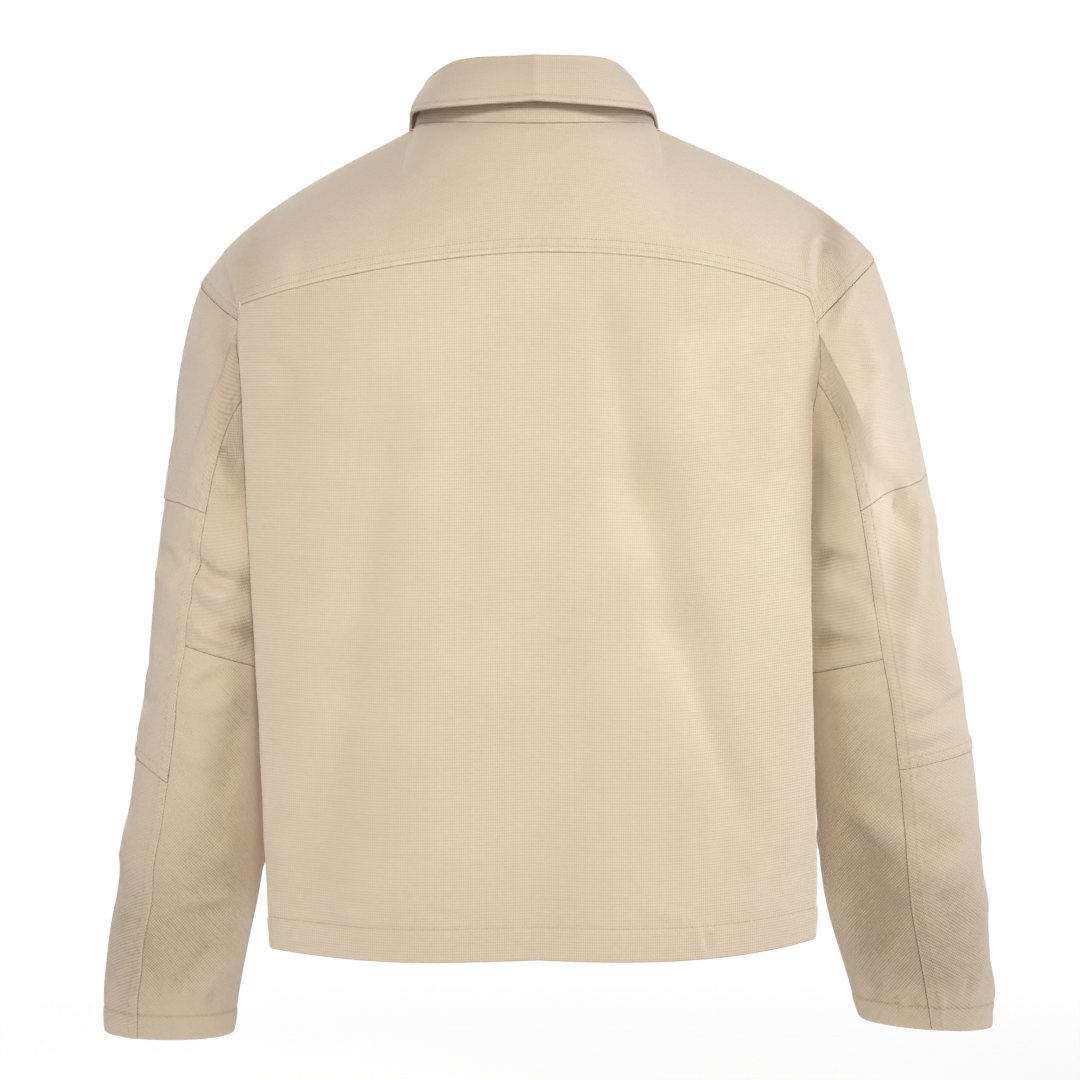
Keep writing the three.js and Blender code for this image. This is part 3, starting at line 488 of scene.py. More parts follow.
def unit(vectors):
    vectors = np.asarray(vectors, float)
    return vectors / np.maximum(lengths(vectors), 1e-12)[..., None]


def hermite(start, start_tangent, end, end_tangent, t):
    t = np.asarray(t, float)
    start, start_tangent, end, end_tangent = (
        np.asarray(value, float) for value in (start, start_tangent, end, end_tangent)
    )
    if max(start.ndim, end.ndim, start_tangent.ndim, end_tangent.ndim) > 0:
        t = t[..., None] if start.shape[-1:] == (3,) else t
    a = 2 * t**3 - 3 * t**2 + 1
    b = t**3 - 2 * t**2 + t
    c = -2 * t**3 + 3 * t**2
    d = t**3 - t**2
    return a * start + b * start_tangent + c * end + d * end_tangent


def table_at(names, rows, at):
    """The columns of a table at the given values of its first column, smoothly between its rows."""
    rows = np.array(rows, float)
    at = np.asarray(at, float)
    direction = -1.0 if rows[0, 0] > rows[-1, 0] else 1.0
    last = len(rows) - 1
    place = np.searchsorted(direction * rows[:, 0], direction * at, side="right") - 1
    i = np.clip(place, 0, last - 1)
    before = rows[np.maximum(i - 1, 0)]
    start = rows[i]
    end = rows[i + 1]
    after = rows[np.minimum(i + 2, last)]
    step = (end - start)[..., :1]
    t = np.clip((at[..., None] - start[..., :1]) / step, 0, 1)
    start_slope = (end - before) / (end - before)[..., :1] * step
    end_slope = (after - start) / (after - start)[..., :1] * step
    a = 2 * t**3 - 3 * t**2 + 1
    b = t**3 - 2 * t**2 + t
    c = -2 * t**3 + 3 * t**2
    d = t**3 - t**2
    values = a * start + b * start_slope + c * end + d * end_slope
    return {name: values[..., k] for k, name in enumerate(names)}


def fold_height(folds, across, down, across_scale):
    """Height of a bank of soft folds: each is a bell across its line and fades past its ends."""
    height = np.zeros(np.broadcast(across, down).shape)
    for from_across, from_down, to_across, to_down, half_width, depth in folds:
        line_x = (to_across - from_across) * across_scale
        line_y = to_down - from_down
        length = math.hypot(line_x, line_y)
        off_x = (across - from_across) * across_scale
        off_y = down - from_down
        along = (off_x * line_x + off_y * line_y) / length
        aside = (off_x * line_y - off_y * line_x) / length
        beyond = np.maximum(0, np.maximum(-along, along - length))
        spread = np.hypot(aside, beyond * 0.7) / half_width
        height = height + depth * np.exp(-spread * spread)
    return height


# Armhole of one half: three arcs
def outwards(half, vector):
    return np.array([vector[0] * half.sign, vector[1], vector[2]], float)


def armhole_back(half, t):
    drop = -ARMHOLE_BACK_LENGTH * unit(ARMHOLE_BACK_DROP)
    return hermite(half.underarm, ARMHOLE_UNDER_BACK, half.yoke_end, outwards(half, drop), t)


def armhole_top(half, t):
    return hermite(half.yoke_end, half.yoke_tangent, half.shoulder_end, half.shoulder_tangent, t)


def armhole_front(half, t):
    rise = -ARMHOLE_FRONT_SCALE * np.array(half.shoulder_tangent, float)
    return hermite(half.underarm, ARMHOLE_UNDER_FRONT, half.shoulder_end, rise, t)


def yoke_seam_z(half, reach):
    share = np.minimum(reach / BACK_EDGE_SHARE, 1)
    on_back = YOKE_SEAM_Z - half.yoke_drop * share**half.yoke_bend
    beyond = np.clip((reach - BACK_EDGE_SHARE) / (1 - BACK_EDGE_SHARE), 0, 1)
    return mix(on_back, half.yoke_end[2], beyond)


def hem_z(half, reach):
    dip = HEM_DIP * np.sin(np.pi * np.minimum(reach / BACK_EDGE_SHARE, 1))
    return HEM_BACK_Z + half.hem_rise * reach**3 - dip


def side_hem_z(half):
    return HEM_BACK_Z + half.hem_rise


def side_seam(half, v):
    z = mix(side_hem_z(half), UNDERARM_Z, v)
    section = table_at(BODY_COLUMNS, BODY_ROWS, z)
    return stack(half.sign * section[half.side], SIDE_SEAM_Y, z)


def panel_level(reach, edge_share, rounding, flat_part, corner, side):
    """X and Y of one level of a panel: flat part, rounded fold at the edge, return to the side."""
    inside = (side[0], mix(corner[1], side[1], SIDE_HOLLOW))

    def return_part(share):
        t = (share - edge_share) / (1 - edge_share)
        return tuple(
            (1 - t) ** 2 * corner[k] + 2 * t * (1 - t) * inside[k] + t**2 * side[k] for k in (0, 1)
        )

    flat = flat_part(np.minimum(reach, edge_share - rounding))
    back = return_part(np.maximum(reach, edge_share + rounding))
    start = flat_part(edge_share - rounding)
    end = return_part(edge_share + rounding)
    t = np.clip((reach - edge_share + rounding) / (2 * rounding), 0, 1)
    turn = tuple((1 - t) ** 2 * start[k] + 2 * t * (1 - t) * corner[k] + t**2 * end[k] for k in (0, 1))
    on_flat = reach <= edge_share - rounding
    on_return = reach >= edge_share + rounding
    return tuple(np.where(on_flat, flat[k], np.where(on_return, back[k], turn[k])) for k in (0, 1))


def back_of(half, reach, v):
    low = side_seam(half, np.minimum(v, 1))
    high = armhole_back(half, np.maximum(v - 1, 0))
    side = np.where((v <= 1)[..., None], low, high)
    rise = (side[..., 2] - UNDERARM_Z) / (half.yoke_end[2] - UNDERARM_Z)
    z_low = mix(hem_z(half, reach), UNDERARM_Z, v)
    z_high = mix(UNDERARM_Z, yoke_seam_z(half, reach), rise)
    z = np.where(v <= 1, z_low, z_high)
    section = table_at(BODY_COLUMNS, BODY_ROWS, z)
    edge_x = half.sign * section[half.edge]

    def flat_part(share):
        t = share / BACK_EDGE_SHARE
        return edge_x * t, mix(section["back_y"], section["edge_y"], t**BACK_FLATNESS)

    corner = (edge_x, section["edge_y"])
    sides = (side[..., 0], side[..., 1])
    x, y = panel_level(reach, BACK_EDGE_SHARE, BACK_EDGE_ROUNDING, flat_part, corner, sides)
    quiet = eased((2 - v) / 0.3) * eased((0.9 - reach) / 0.2)
    return stack(x, y + quiet * fold_height(BACK_FOLDS, x, z, 1), z)


def both_halves(point_of, u, v):
    u, v = np.broadcast_arrays(np.asarray(u, float), np.asarray(v, float))
    reach = np.abs(u)
    left = point_of(LEFT, reach, v)
    right = point_of(RIGHT, reach, v)
    return np.where((u < 0)[..., None], right, left)


def back_point(u, v):
    """The back: u from -1 (right) to 1 (left), v from 0 (hem) through 1 (underarm) to 2 (yoke seam)."""
    return both_halves(back_of, u, v)


def neck_point(half, turn):
    """Neck seam: turn 0 at the back, 1 at the end of the shoulder seam, 2 at the front."""
    turn = np.asarray(turn, float)
    side = half.neck_side
    angle = np.radians(90 * turn)
    back = stack(
        mix(NECK_CENTRE_X, side[0], np.sin(angle)),
        mix(side[1], NECK_BACK_Y, np.cos(angle)),
        mix(NECK_BACK_Z, side[2], np.sin(angle) ** 2),
    )
    angle = np.radians(90 * (turn - 1))
    front = stack(
        mix(NECK_FRONT[0], side[0], np.cos(angle)),
        mix(side[1], NECK_FRONT[1], np.sin(angle)),
        mix(side[2], NECK_FRONT[2], 1 - np.abs(np.cos(angle)) ** 1.3),
    )
    return np.where((turn <= 1)[..., None], back, front)


def shoulder_share(reach):
    past = (reach - BACK_EDGE_SHARE) / (1 - BACK_EDGE_SHARE)
    before = (reach - NECK_SHARE) / (BACK_EDGE_SHARE - NECK_SHARE)
    return np.where(past > 0, mix(SHOULDER_FOLD_SHARE, 1, past), before * SHOULDER_FOLD_SHARE)


def shoulder_seam(half, share):
    point = mix_points(half.neck_side, half.shoulder_end, share)
    bow = np.maximum(0, np.sin(np.pi * np.clip(share, 0, 1) ** SHOULDER_ARCH_BEND))
    point[..., 2] += half.shoulder_arch * bow**SHOULDER_ARCH_FULLNESS
    return point


def yoke_of(half, reach, v):
    start = back_of(half, reach, np.full_like(reach, 2.0))
    slope = start - back_of(half, reach, np.full_like(reach, 1.97))
    follow = slope * (YOKE_START_LENGTH / slope[..., 2])[..., None]
    towards = np.broadcast_to(np.array(half.yoke_tangent, float), follow.shape)
    start_tangent = mix_points(follow, towards, eased((reach - 0.7) / 0.3))
    on_neck = (reach <= NECK_SHARE)[..., None]
    share = np.clip(reach / NECK_SHARE, 0, 1)
    along = np.maximum(shoulder_share(reach), 0)
    end = np.where(on_neck, neck_point(half, share), shoulder_seam(half, along))
    neck_tangent = mix_points(NECK_BACK_TANGENT, NECK_SIDE_TANGENT, eased(share))
    side_tangent = mix_points(NECK_SIDE_TANGENT, half.shoulder_tangent, along)
    end_tangent = np.where(on_neck, neck_tangent, side_tangent)
    return hermite(start, start_tangent, end, end_tangent, v)


def yoke_point(u, v):
    """The yoke: u as on the back, v from 0 (yoke seam) to 1 (neck seam and shoulder seam)."""
    return both_halves(yoke_of, u, v)


def front_point(half, g, v):
    """A front: g from 0 (side) to 1 (its front edge), v from 0 (hem) through 1 (underarm) to 2 (top)."""
    g, v = np.broadcast_arrays(np.asarray(g, float), np.asarray(v, float))
    reach = 1 - g
    edge_share = 1 - FRONT_EDGE_SHARE
    level = np.minimum(v, 1)
    side = side_seam(half, level)
    z = mix(mix(side_hem_z(half), HEM_FRONT_Z, eased(g)), UNDERARM_Z, level)
    section = table_at(BODY_COLUMNS, BODY_ROWS, z)
    edge_x = half.sign * section["front_edge"]

    def flat_part(share):
        x = mix(-half.sign * FRONT_OVERLAP, edge_x, share / edge_share)
        bend = np.abs(x / edge_x) ** FRONT_FLATNESS
        return x, mix(section["front_y"], section["front_edge_y"], bend)

    corner = (edge_x, section["front_edge_y"])
    sides = (side[..., 0], side[..., 1])
    x, y = panel_level(reach, edge_share, FRONT_EDGE_ROUNDING, flat_part, corner, sides)
    under = FRONT_STEP * eased((x + 40) / 20) if half is RIGHT else np.zeros_like(x)
    low = stack(x, y + under, z)
    on_shoulder = (g <= FRONT_NECK_SHARE)[..., None]
    shoulder = shoulder_share(1 - (g / FRONT_NECK_SHARE) * (1 - NECK_SHARE))
    neck_turn = np.clip((g - FRONT_NECK_SHARE) / (1 - FRONT_NECK_SHARE), 0, 1)
    neck = neck_point(half, mix(1, half.neck_end, neck_turn))
    neck[..., 1] += under
    end = np.where(on_shoulder, shoulder_seam(half, np.maximum(shoulder, 0)), neck)
    side_rise = -ARMHOLE_FRONT_SCALE * np.array(half.shoulder_tangent, float)
    leave = mix_points(ARMHOLE_UNDER_FRONT, FRONT_START, eased(g / 0.3))
    arrive = np.where(
        on_shoulder,
        mix_points(side_rise, FRONT_SIDE_TANGENT, eased(g / FRONT_NECK_SHARE)),
        mix_points(FRONT_SIDE_TANGENT, FRONT_NECK_TANGENT, eased(neck_turn * 1.2)),
    )
    high = hermite(low, leave, end, arrive, np.maximum(v - 1, 0))
    return np.where((v <= 1)[..., None], low, high)


def ring_point(half, angle, z):
    """A sleeve ring: angle 0 faces out, 90 back, 180 the body, 270 front."""
    ring = table_at(RING_COLUMNS, half.rings, z)
    out = np.cos(np.radians(angle))
    back = np.sin(np.radians(angle))
    x = half.sign * (ring["centre_x"] + ring["half_width"] * out)
    return stack(x, ring["centre_y"] + ring["half_depth"] * back, z)


def armhole_point(half, angle):
    turn = np.where(angle > 180, angle - 360, angle)
    top = half.armhole_yoke_angle
    front = half.armhole_shoulder_angle
    on_back = armhole_back(half, np.clip((180 - turn) / (180 - top), 0, 1))
    on_top = armhole_top(half, np.clip((top - turn) / (top - front), 0, 1))
    on_front = armhole_front(half, np.clip((turn + 180) / (front + 180), 0, 1))
    upper = np.where((turn >= front)[..., None], on_top, on_front)
    return np.where((turn >= top)[..., None], on_back, upper)


def sleeve_point(half, angle, s):
    """A sleeve: s from 0 (armhole) through 1 (first ring) to 2 (cuff)."""
    angle, s = np.broadcast_arrays(np.asarray(angle, float), np.asarray(s, float))
    out = np.cos(np.radians(angle))
    back = np.sin(np.radians(angle))
    start = armhole_point(half, angle) + np.array([half.sign * SEAM_GAP, 0, 0])
    end = ring_point(half, angle, np.full_like(angle, HEAD_RING_Z))
    chord = lengths(end - start)[..., None]
    leave = unit(stack(half.sign * (SLEEVE_LEAVE - 0.12 * out), 0.25 * back, -(0.76 + 0.11 * out)))
    slope = unit(ring_point(half, angle, np.full_like(angle, HEAD_RING_Z - 6)) - end)
    head = hermite(start, leave * chord, end, slope * chord, np.minimum(s, 1))
    cuff = half.cuff_z + half.cuff_tilt * out
    tube = ring_point(half, angle, mix(HEAD_RING_Z, cuff, np.maximum(s - 1, 0)))
    point = np.where((s <= 1)[..., None], head, tube)
    quiet = eased(s / 0.25) * eased((2 - s) / 0.08)
    turn = np.where(angle > 180, angle - 360, angle)
    lift = quiet * fold_height(half.folds, turn, point[..., 2], SLEEVE_FOLD_SCALE)
    return point + stack(half.sign * out * lift, back * lift, 0)


def sleeve_row(half, angle, r):
    """Share of the sleeve at a row: 0 armhole, 1 elbow top seam, 2 under-sleeve seam, 3 elbow lower seam,
    3.8 the cuff's stitch line and 4 the cuff's edge."""
    inner = 1 - np.cos(np.radians(angle))

    def share(z):
        return 1 + (z - HEAD_RING_Z) / (half.cuff_z - HEAD_RING_Z)

    stops = (
        np.zeros_like(inner),
        half.elbow_top_share - half.elbow_top_fall * inner,
        share(half.under_seam_z - UNDER_SEAM_FALL * inner),
        share(half.elbow_bottom_z - half.elbow_bottom_fall * np.minimum(inner, 1)),
        share(half.cuff_z + CUFF_DEPTH) + 0 * inner,
        2 + 0 * inner,
    )
    places = (0, 1, 2, 3, 3.8, 4)
    result = stops[0] + 0 * r
    for k in range(len(places) - 1):
        part = (r - places[k]) / (places[k + 1] - places[k])
        result = np.where(r >= places[k], mix(stops[k], stops[k + 1], part), result)
    return result


def seam_swing(half, angle, s):
    """How much nearer the body the back seam of a sleeve lies towards the armhole, in degrees."""
    turn = np.where(angle > 230, angle - 360, angle)
    near = eased(1 - np.abs(turn - half.seam_angle) / SWING_REACH)
    return half.seam_swing * near * np.maximum(0, 1 - s / SWING_END) ** SWING_BEND


def towards_neck(points):
    """Level unit vectors from points to the middle of the neck."""
    flat = stack(NECK_MIDDLE[0] - points[..., 0], NECK_MIDDLE[1] - points[..., 1], 0)
    return unit(flat)


def by_side(point_of, turn, other):
    turn, other = np.broadcast_arrays(np.asarray(turn, float), np.asarray(other, float))
    left = point_of(LEFT, np.abs(turn), other)
    right = point_of(RIGHT, np.abs(turn), other)
    return np.where((turn < 0)[..., None], right, left)


def stand_of(half, turn, h):
    base = neck_point(half, turn)
    lift = mix(STAND_BACK_HEIGHT, STAND_FRONT_HEIGHT, eased(turn / 1.2))
    lean = towards_neck(base) * (STAND_LEAN * h**1.6)[..., None]
    clear = SEAM_GAP * (1 + 3 * eased(turn - 1))
    return base + lean + stack(0, 0, clear + lift * h)


def stand_point(turn, h):
    """Collar stand: turn from -2 (right front) through 0 (back) to 2 (left front), h from 0 to 1."""
    return by_side(stand_of, turn, h)


def fall_of(half, turn, k):
    row = table_at(COLLAR_COLUMNS, half.collar, turn)
    fold = stack(row["fold_x"], row["fold_y"], row["fold_z"])
    edge = stack(row["edge_x"], row["edge_y"], row["edge_z"])
    inwards = towards_neck(fold)
    down = np.array([0, 0, -1.0])
    base = stand_of(half, turn, np.ones_like(turn))
    start = base + stack(0, 0, SEAM_GAP * (2 + 3 * eased(turn - 1))) + inwards * CLOTH
    before = fold + (inwards + down) * LEAF_ROLL
    after = fold + (down - inwards) * LEAF_ROLL
    rise = mix_points(start, before, np.clip(k / 0.25, 0, 1))
    t = np.clip((k - 0.55) / 0.45, 0, 1)
    leaf = mix_points(after, edge, t) - inwards * (2.5 * np.sin(np.pi * t))[..., None]
    angle = np.pi * (k - 0.25) / 0.3
    roll = fold + down * LEAF_ROLL + inwards * (LEAF_ROLL * np.cos(angle))[..., None]
    roll = roll + stack(0, 0, LEAF_ROLL * np.sin(angle))
    return np.where((k <= 0.25)[..., None], rise, np.where((k >= 0.55)[..., None], leaf, roll))


def fall_point(turn, k):
    """Collar fall: k from 0 (top of the stand) over the fold to 1 (outer edge)."""
    return by_side(fall_of, turn, k)


# Panels: a grid of points with rows from its first edge to its last and columns from start to end
def spaced(*parts):
    """Values along a side, from parts of (start, end, number of steps)."""
    values = [np.linspace(start, end, steps, endpoint=False) for start, end, steps in parts]
    return np.concatenate([*values, [parts[-1][1]]])


def crowded(start, end, steps, crowding=0.6):
    """Evenly spaced values that crowd together towards both ends."""
    t = np.linspace(0, 1, steps + 1)
    return mix(start, end, t - crowding * np.sin(2 * np.pi * t) / (2 * np.pi))


def slope_along(points, axis):
    return np.gradient(points, axis=axis)


def normals_of(points, out_sign):
    down = slope_along(points, 0)
    across = slope_along(points, 1)
    return unit(np.cross(across, down)) * out_sign


class Panel:
    """A piece of cloth: its base grid, outward normals, flat coordinates and the lift of its details."""

    def __init__(self, name, points, out_sign, seams):
        self.name = name
        self.out_sign = out_sign
        self.seams = seams
        self.base = self.drawn_back(points, seams, SEAM_GAP / 2)
        self.normals = normals_of(self.base, out_sign)
        self.across = self.run(self.base, 1)
        self.down = self.run(self.base, 0)
        middle = self.across.shape[1] // 2
        self.flat_x = self.across - self.across[:, middle : middle + 1]
        self.flat_y = self.down
        self.lift = np.zeros(self.base.shape[:2])
        # painted shade and painted highlight on the cloth's colour: darker in creases, seam edges, stitch
        # grooves and patches, lighter on ridges and rims
        self.tone = np.zeros(self.base.shape[:2])
        self.extra = np.zeros(self.base.shape)

    @staticmethod
    def run(points, axis):
        steps = lengths(np.diff(points, axis=axis))
        total = np.cumsum(steps, axis=axis)
        start = np.zeros_like(np.take(total, [0], axis=axis))
        return np.concatenate([start, total], axis=axis)

    @staticmethod
    def drawn_back(points, seams, distance):
        moved = points.copy()
        if "first" in seams:
            moved[0] += unit(points[1] - points[0]) * distance
        if "last" in seams:
            moved[-1] += unit(points[-2] - points[-1]) * distance
        if "start" in seams:
            moved[:, 0] += unit(points[:, 1] - points[:, 0]) * distance
        if "end" in seams:
            moved[:, -1] += unit(points[:, -2] - points[:, -1]) * distance
        return moved

    def from_edge(self, edge):
        """Distance of each point from one edge, along the grid."""
        return {
            "first": self.down,
            "last": self.down[-1:] - self.down,
            "start": self.across,
            "end": self.across[:, -1:] - self.across,
        }[edge]

    def along_edge(self, edge):
        """Distance of each point along one edge."""
        return self.flat_x if edge in ("first", "last") else self.down

    def surface(self):
        return self.base + self.normals * self.lift[..., None] + self.extra


def wobble(along, seed, *waves):
    """An uneven wave along a line: its parts are (wavelength, height), and the seed sets their phases."""
    total = np.zeros_like(along)
    for k, (wavelength, height) in enumerate(waves):
        phase = math.sin(seed * 12.9898 + k * 78.233) * 43.7585
        total = total + height * np.sin(2 * np.pi * along / wavelength + phase)
    return total


def add_creases(panel, rows, gain):
    """The creases of a table, each a soft trough or ridge along a bent line, gain times as high."""
    flat = {"back": (0, 2), "front": (0, 2), "side": (1, 2), "top": (0, 1)}
    facing = {
        "back": panel.normals[..., 1],
        "front": -panel.normals[..., 1],
        "side": np.abs(panel.normals[..., 0]),
        "top": panel.normals[..., 2],
    }
    for k, (seen, a0, b0, a1, b1, a2, b2, half_width, depth, skew) in enumerate(rows):
        first, second = flat[seen]
        p = panel.base[..., first]
        q = panel.base[..., second]
        reach = 3 * half_width
        near = (p > min(a0, a1, a2) - reach) & (p < max(a0, a1, a2) + reach)
        near &= (q > min(b0, b1, b2) - reach) & (q < max(b0, b1, b2) + reach)
        near &= facing[seen] > 0.03
        if not near.any():
            continue
        p = p[near]
        q = q[near]
        middle = np.array([2 * a1 - (a0 + a2) / 2, 2 * b1 - (b0 + b2) / 2])
        t = np.linspace(0, 1, 13)[:, None]
        start = np.array([a0, b0], float)
        end = np.array([a2, b2], float)
        line = (1 - t) ** 2 * start + 2 * t * (1 - t) * middle + t**2 * end
        best = np.full(p.shape, 1e9)
        aside = np.zeros(p.shape)
        along = np.zeros(p.shape)
        for i in range(len(line) - 1):
            step = line[i + 1] - line[i]
            length = max(float(np.hypot(*step)), 1e-6)
            off_p = p - line[i][0]
            off_q = q - line[i][1]
            share = np.clip((off_p * step[0] + off_q * step[1]) / length**2, 0, 1)
            distance = np.hypot(off_p - share * step[0], off_q - share * step[1])
            closer = distance < best
            best = np.where(closer, distance, best)
            aside = np.where(closer, np.sign(off_p * step[1] - off_q * step[0]), aside)
            along = np.where(closer, (i + share) / (len(line) - 1), along)
        width = half_width * (1 - 0.55 * skew * aside)
        taper = 0.15 + 0.85 * eased(np.minimum(along, 1 - along) / 0.3)
        uneven = 1 + 0.18 * np.sin(5 * along + 1.7 * k)
        height = gain * depth * bell(best, width * (0.75 + 0.25 * taper)) * taper * uneven
        weight = eased((facing[seen][near] - 0.03) / 0.3)
        panel.lift[near] += height * weight
        # painted shade along each trough and painted highlight along each ridge, on top of the real lift
        panel.tone[near] += 0.14 * depth * bell(best, width * 0.8) * taper * weight


def drape(panel, seed, height=0.5):
    """Faint unevenness of worn canvas, longer down the cloth than across it."""
    x = panel.flat_x
    y = panel.flat_y
    wave = wobble(x + 0.22 * y, seed, (83, 0.5), (47, 0.28), (29, 0.12))
    wave = wave * (0.6 + 0.4 * wobble(y + 0.1 * x, seed + 3.1, (210, 0.7), (96, 0.3)))
    panel.lift += height * (wave + wobble(y - 0.35 * x, seed + 7.7, (131, 0.3), (61, 0.18)))


def lap(panel, edge, stitch_rows, height=0.9, spread=16.0, pucker=0.22, seed=1.0):
    """The upper side of a seam: a rounded lip, stitch grooves and puckers between them."""
    distance = panel.from_edge(edge)
    along = panel.along_edge(edge)
    inner = (stitch_rows[-1] if stitch_rows else 2.0) + 1.5
    raised = 1 - eased((distance - inner) / (spread - inner))
    uneven = 1 + 0.45 * wobble(along, seed + 4, (43, 0.5), (71, 0.4), (19, 0.25))
    lip = height * raised * uneven - (height + 0.1) * bell(distance, 0.5)
    groove = sum(bell(distance - row, 0.75) for row in stitch_rows) if stitch_rows else 0
    strip = eased((inner - distance) / 2) * eased(distance / 1.5)
    swell = wobble(along + 0.35 * distance, seed, (9.5, 0.5), (5.7, 0.3), (14.3, 0.4))
    beyond = bell(distance - inner - 2.5, 3.2) * wobble(along, seed + 2, (11.2, 0.5), (17.7, 0.5))
    panel.lift += lip - 0.3 * groove + pucker * (swell * strip + 0.9 * beyond)
    # painted highlight along the raised lip, painted shade in the stitch grooves and at the seam's edge
    panel.tone += 0.6 * bell(distance - 1.3, 1.0) * uneven - 0.22 * groove - 0.6 * bell(distance, 0.45)


def tuck_under(panel, edge, depth=0.2, pucker=0.25, seed=2.0):
    """The lower side of a seam: it dips under the lip and gathers slightly there."""
    distance = panel.from_edge(edge)
    along = panel.along_edge(edge)
    swell = wobble(along, seed, (12.1, 0.5), (7.3, 0.3), (19.7, 0.5))
    fade = eased(distance / 1.5) * (1 - eased((distance - 3) / 11))
    panel.lift += -depth * bell(distance, 1.2) + pucker * swell * fade
    # painted shade where the cloth dips under the lip
    panel.tone -= 0.5 * bell(distance, 0.6)


def shade_patch(panel, seen, place, reach, tone):
    """A soft patch of painted shade (painted light where the strength is positive), as seen from the back or
    the front.
    """
    across = (panel.base[..., 0] - place[0]) / reach[0]
    up = (panel.base[..., 2] - place[1]) / reach[1]
    facing = eased((seen * panel.normals[..., 1] + 0.25) / 0.4)
    panel.tone += tone * np.exp(-(across**2 + up**2)) * facing


def folded_edge(panel, side, tone, height):
    """The rolled rim where a panel folds back at its side: slightly raised, with painted highlight along it.
    """
    edge = np.argmax(side * panel.base[..., 0], axis=1)[:, None]
    away = panel.flat_x - np.take_along_axis(panel.flat_x, edge, axis=1)
    uneven = 1 + 0.4 * wobble(panel.down, 3.1, (61, 0.5), (23, 0.4))
    # painted highlight along the rim
    panel.tone += tone * bell(away, 2.2) * uneven
    panel.lift += height * bell(away, 2.6) * uneven


def turned_edge(panel, edge, turn_depth, height=0.9, seed=3.0, pucker=0.3):
    """A hem: doubled cloth below its stitch line, a groove on the line and a soft edge."""
    distance = panel.from_edge(edge)
    along = panel.along_edge(edge)
    doubled = eased((turn_depth + 1.5 - distance) / 3.0)
    groove = bell(distance - turn_depth, 1.0)
    swell = wobble(along + 0.5 * distance, seed, (15.1, 0.45), (9.1, 0.3), (27.0, 0.45))
    strip = eased((turn_depth - distance) / 5) * eased(distance / 6)
    above = bell(distance - turn_depth - 4, 4) * wobble(along, seed + 1.3, (13.3, 0.5), (21, 0.5))
    panel.lift += height * doubled - 0.6 * groove + pucker * (swell * strip + above)
    panel.lift -= 0.8 * bell(distance, 1.0)
    # painted highlight along the folded edge and painted shade in the stitch groove
    panel.tone += 0.5 * bell(distance - 0.5, 1.2) - 0.5 * groove


# Meshes
def quads_of(rows, columns, start=0, flip=False):
    i, j = np.meshgrid(np.arange(rows - 1), np.arange(columns - 1), indexing="ij")
    a = (start + i * columns + j).ravel()
    faces = np.stack([a, a + 1, a + columns + 1, a + columns], axis=1)
    return faces[:, ::-1] if flip else faces


def rim_faces(outer, inner, flip):
    """Faces between an outer line of points and an inner line with half its steps."""
    faces = []
    for k in range(len(inner) - 1):
        a0, a1, a2 = outer[2 * k], outer[2 * k + 1], outer[2 * k + 2]
        b0, b1 = inner[k], inner[k + 1]
        for face in ((a0, b0, a1), (a1, b0, b1), (a1, b1, a2)):
            faces.append(face[::-1] if flip else face)
    return faces


def mesh_from(name, points, faces, flat_points, material, painted_shading_values=None):
    mesh = bpy.data.meshes.new(name)
    mesh.from_pydata((np.asarray(points) * MM).tolist(), [], [list(map(int, face)) for face in faces])
    layer = mesh.uv_layers.new(name="cloth")
    index = np.zeros(len(mesh.loops), dtype=np.int32)
    mesh.loops.foreach_get("vertex_index", index)
    layer.data.foreach_set("uv", (np.asarray(flat_points)[index] * MM).astype(np.float32).ravel())
    if painted_shading_values is not None:
        # this attribute holds the painted shade and painted highlight of the panel
        attribute = mesh.attributes.new("tone", "FLOAT", "POINT")
        attribute.data.foreach_set("value", np.asarray(painted_shading_values, dtype=np.float32))
    mesh.polygons.foreach_set("use_smooth", [True] * len(mesh.polygons))
    mesh.materials.append(material)
    mesh.update()
    piece = bpy.data.objects.new(name, mesh)
    bpy.context.scene.collection.objects.link(piece)
    return piece


allowances = {}


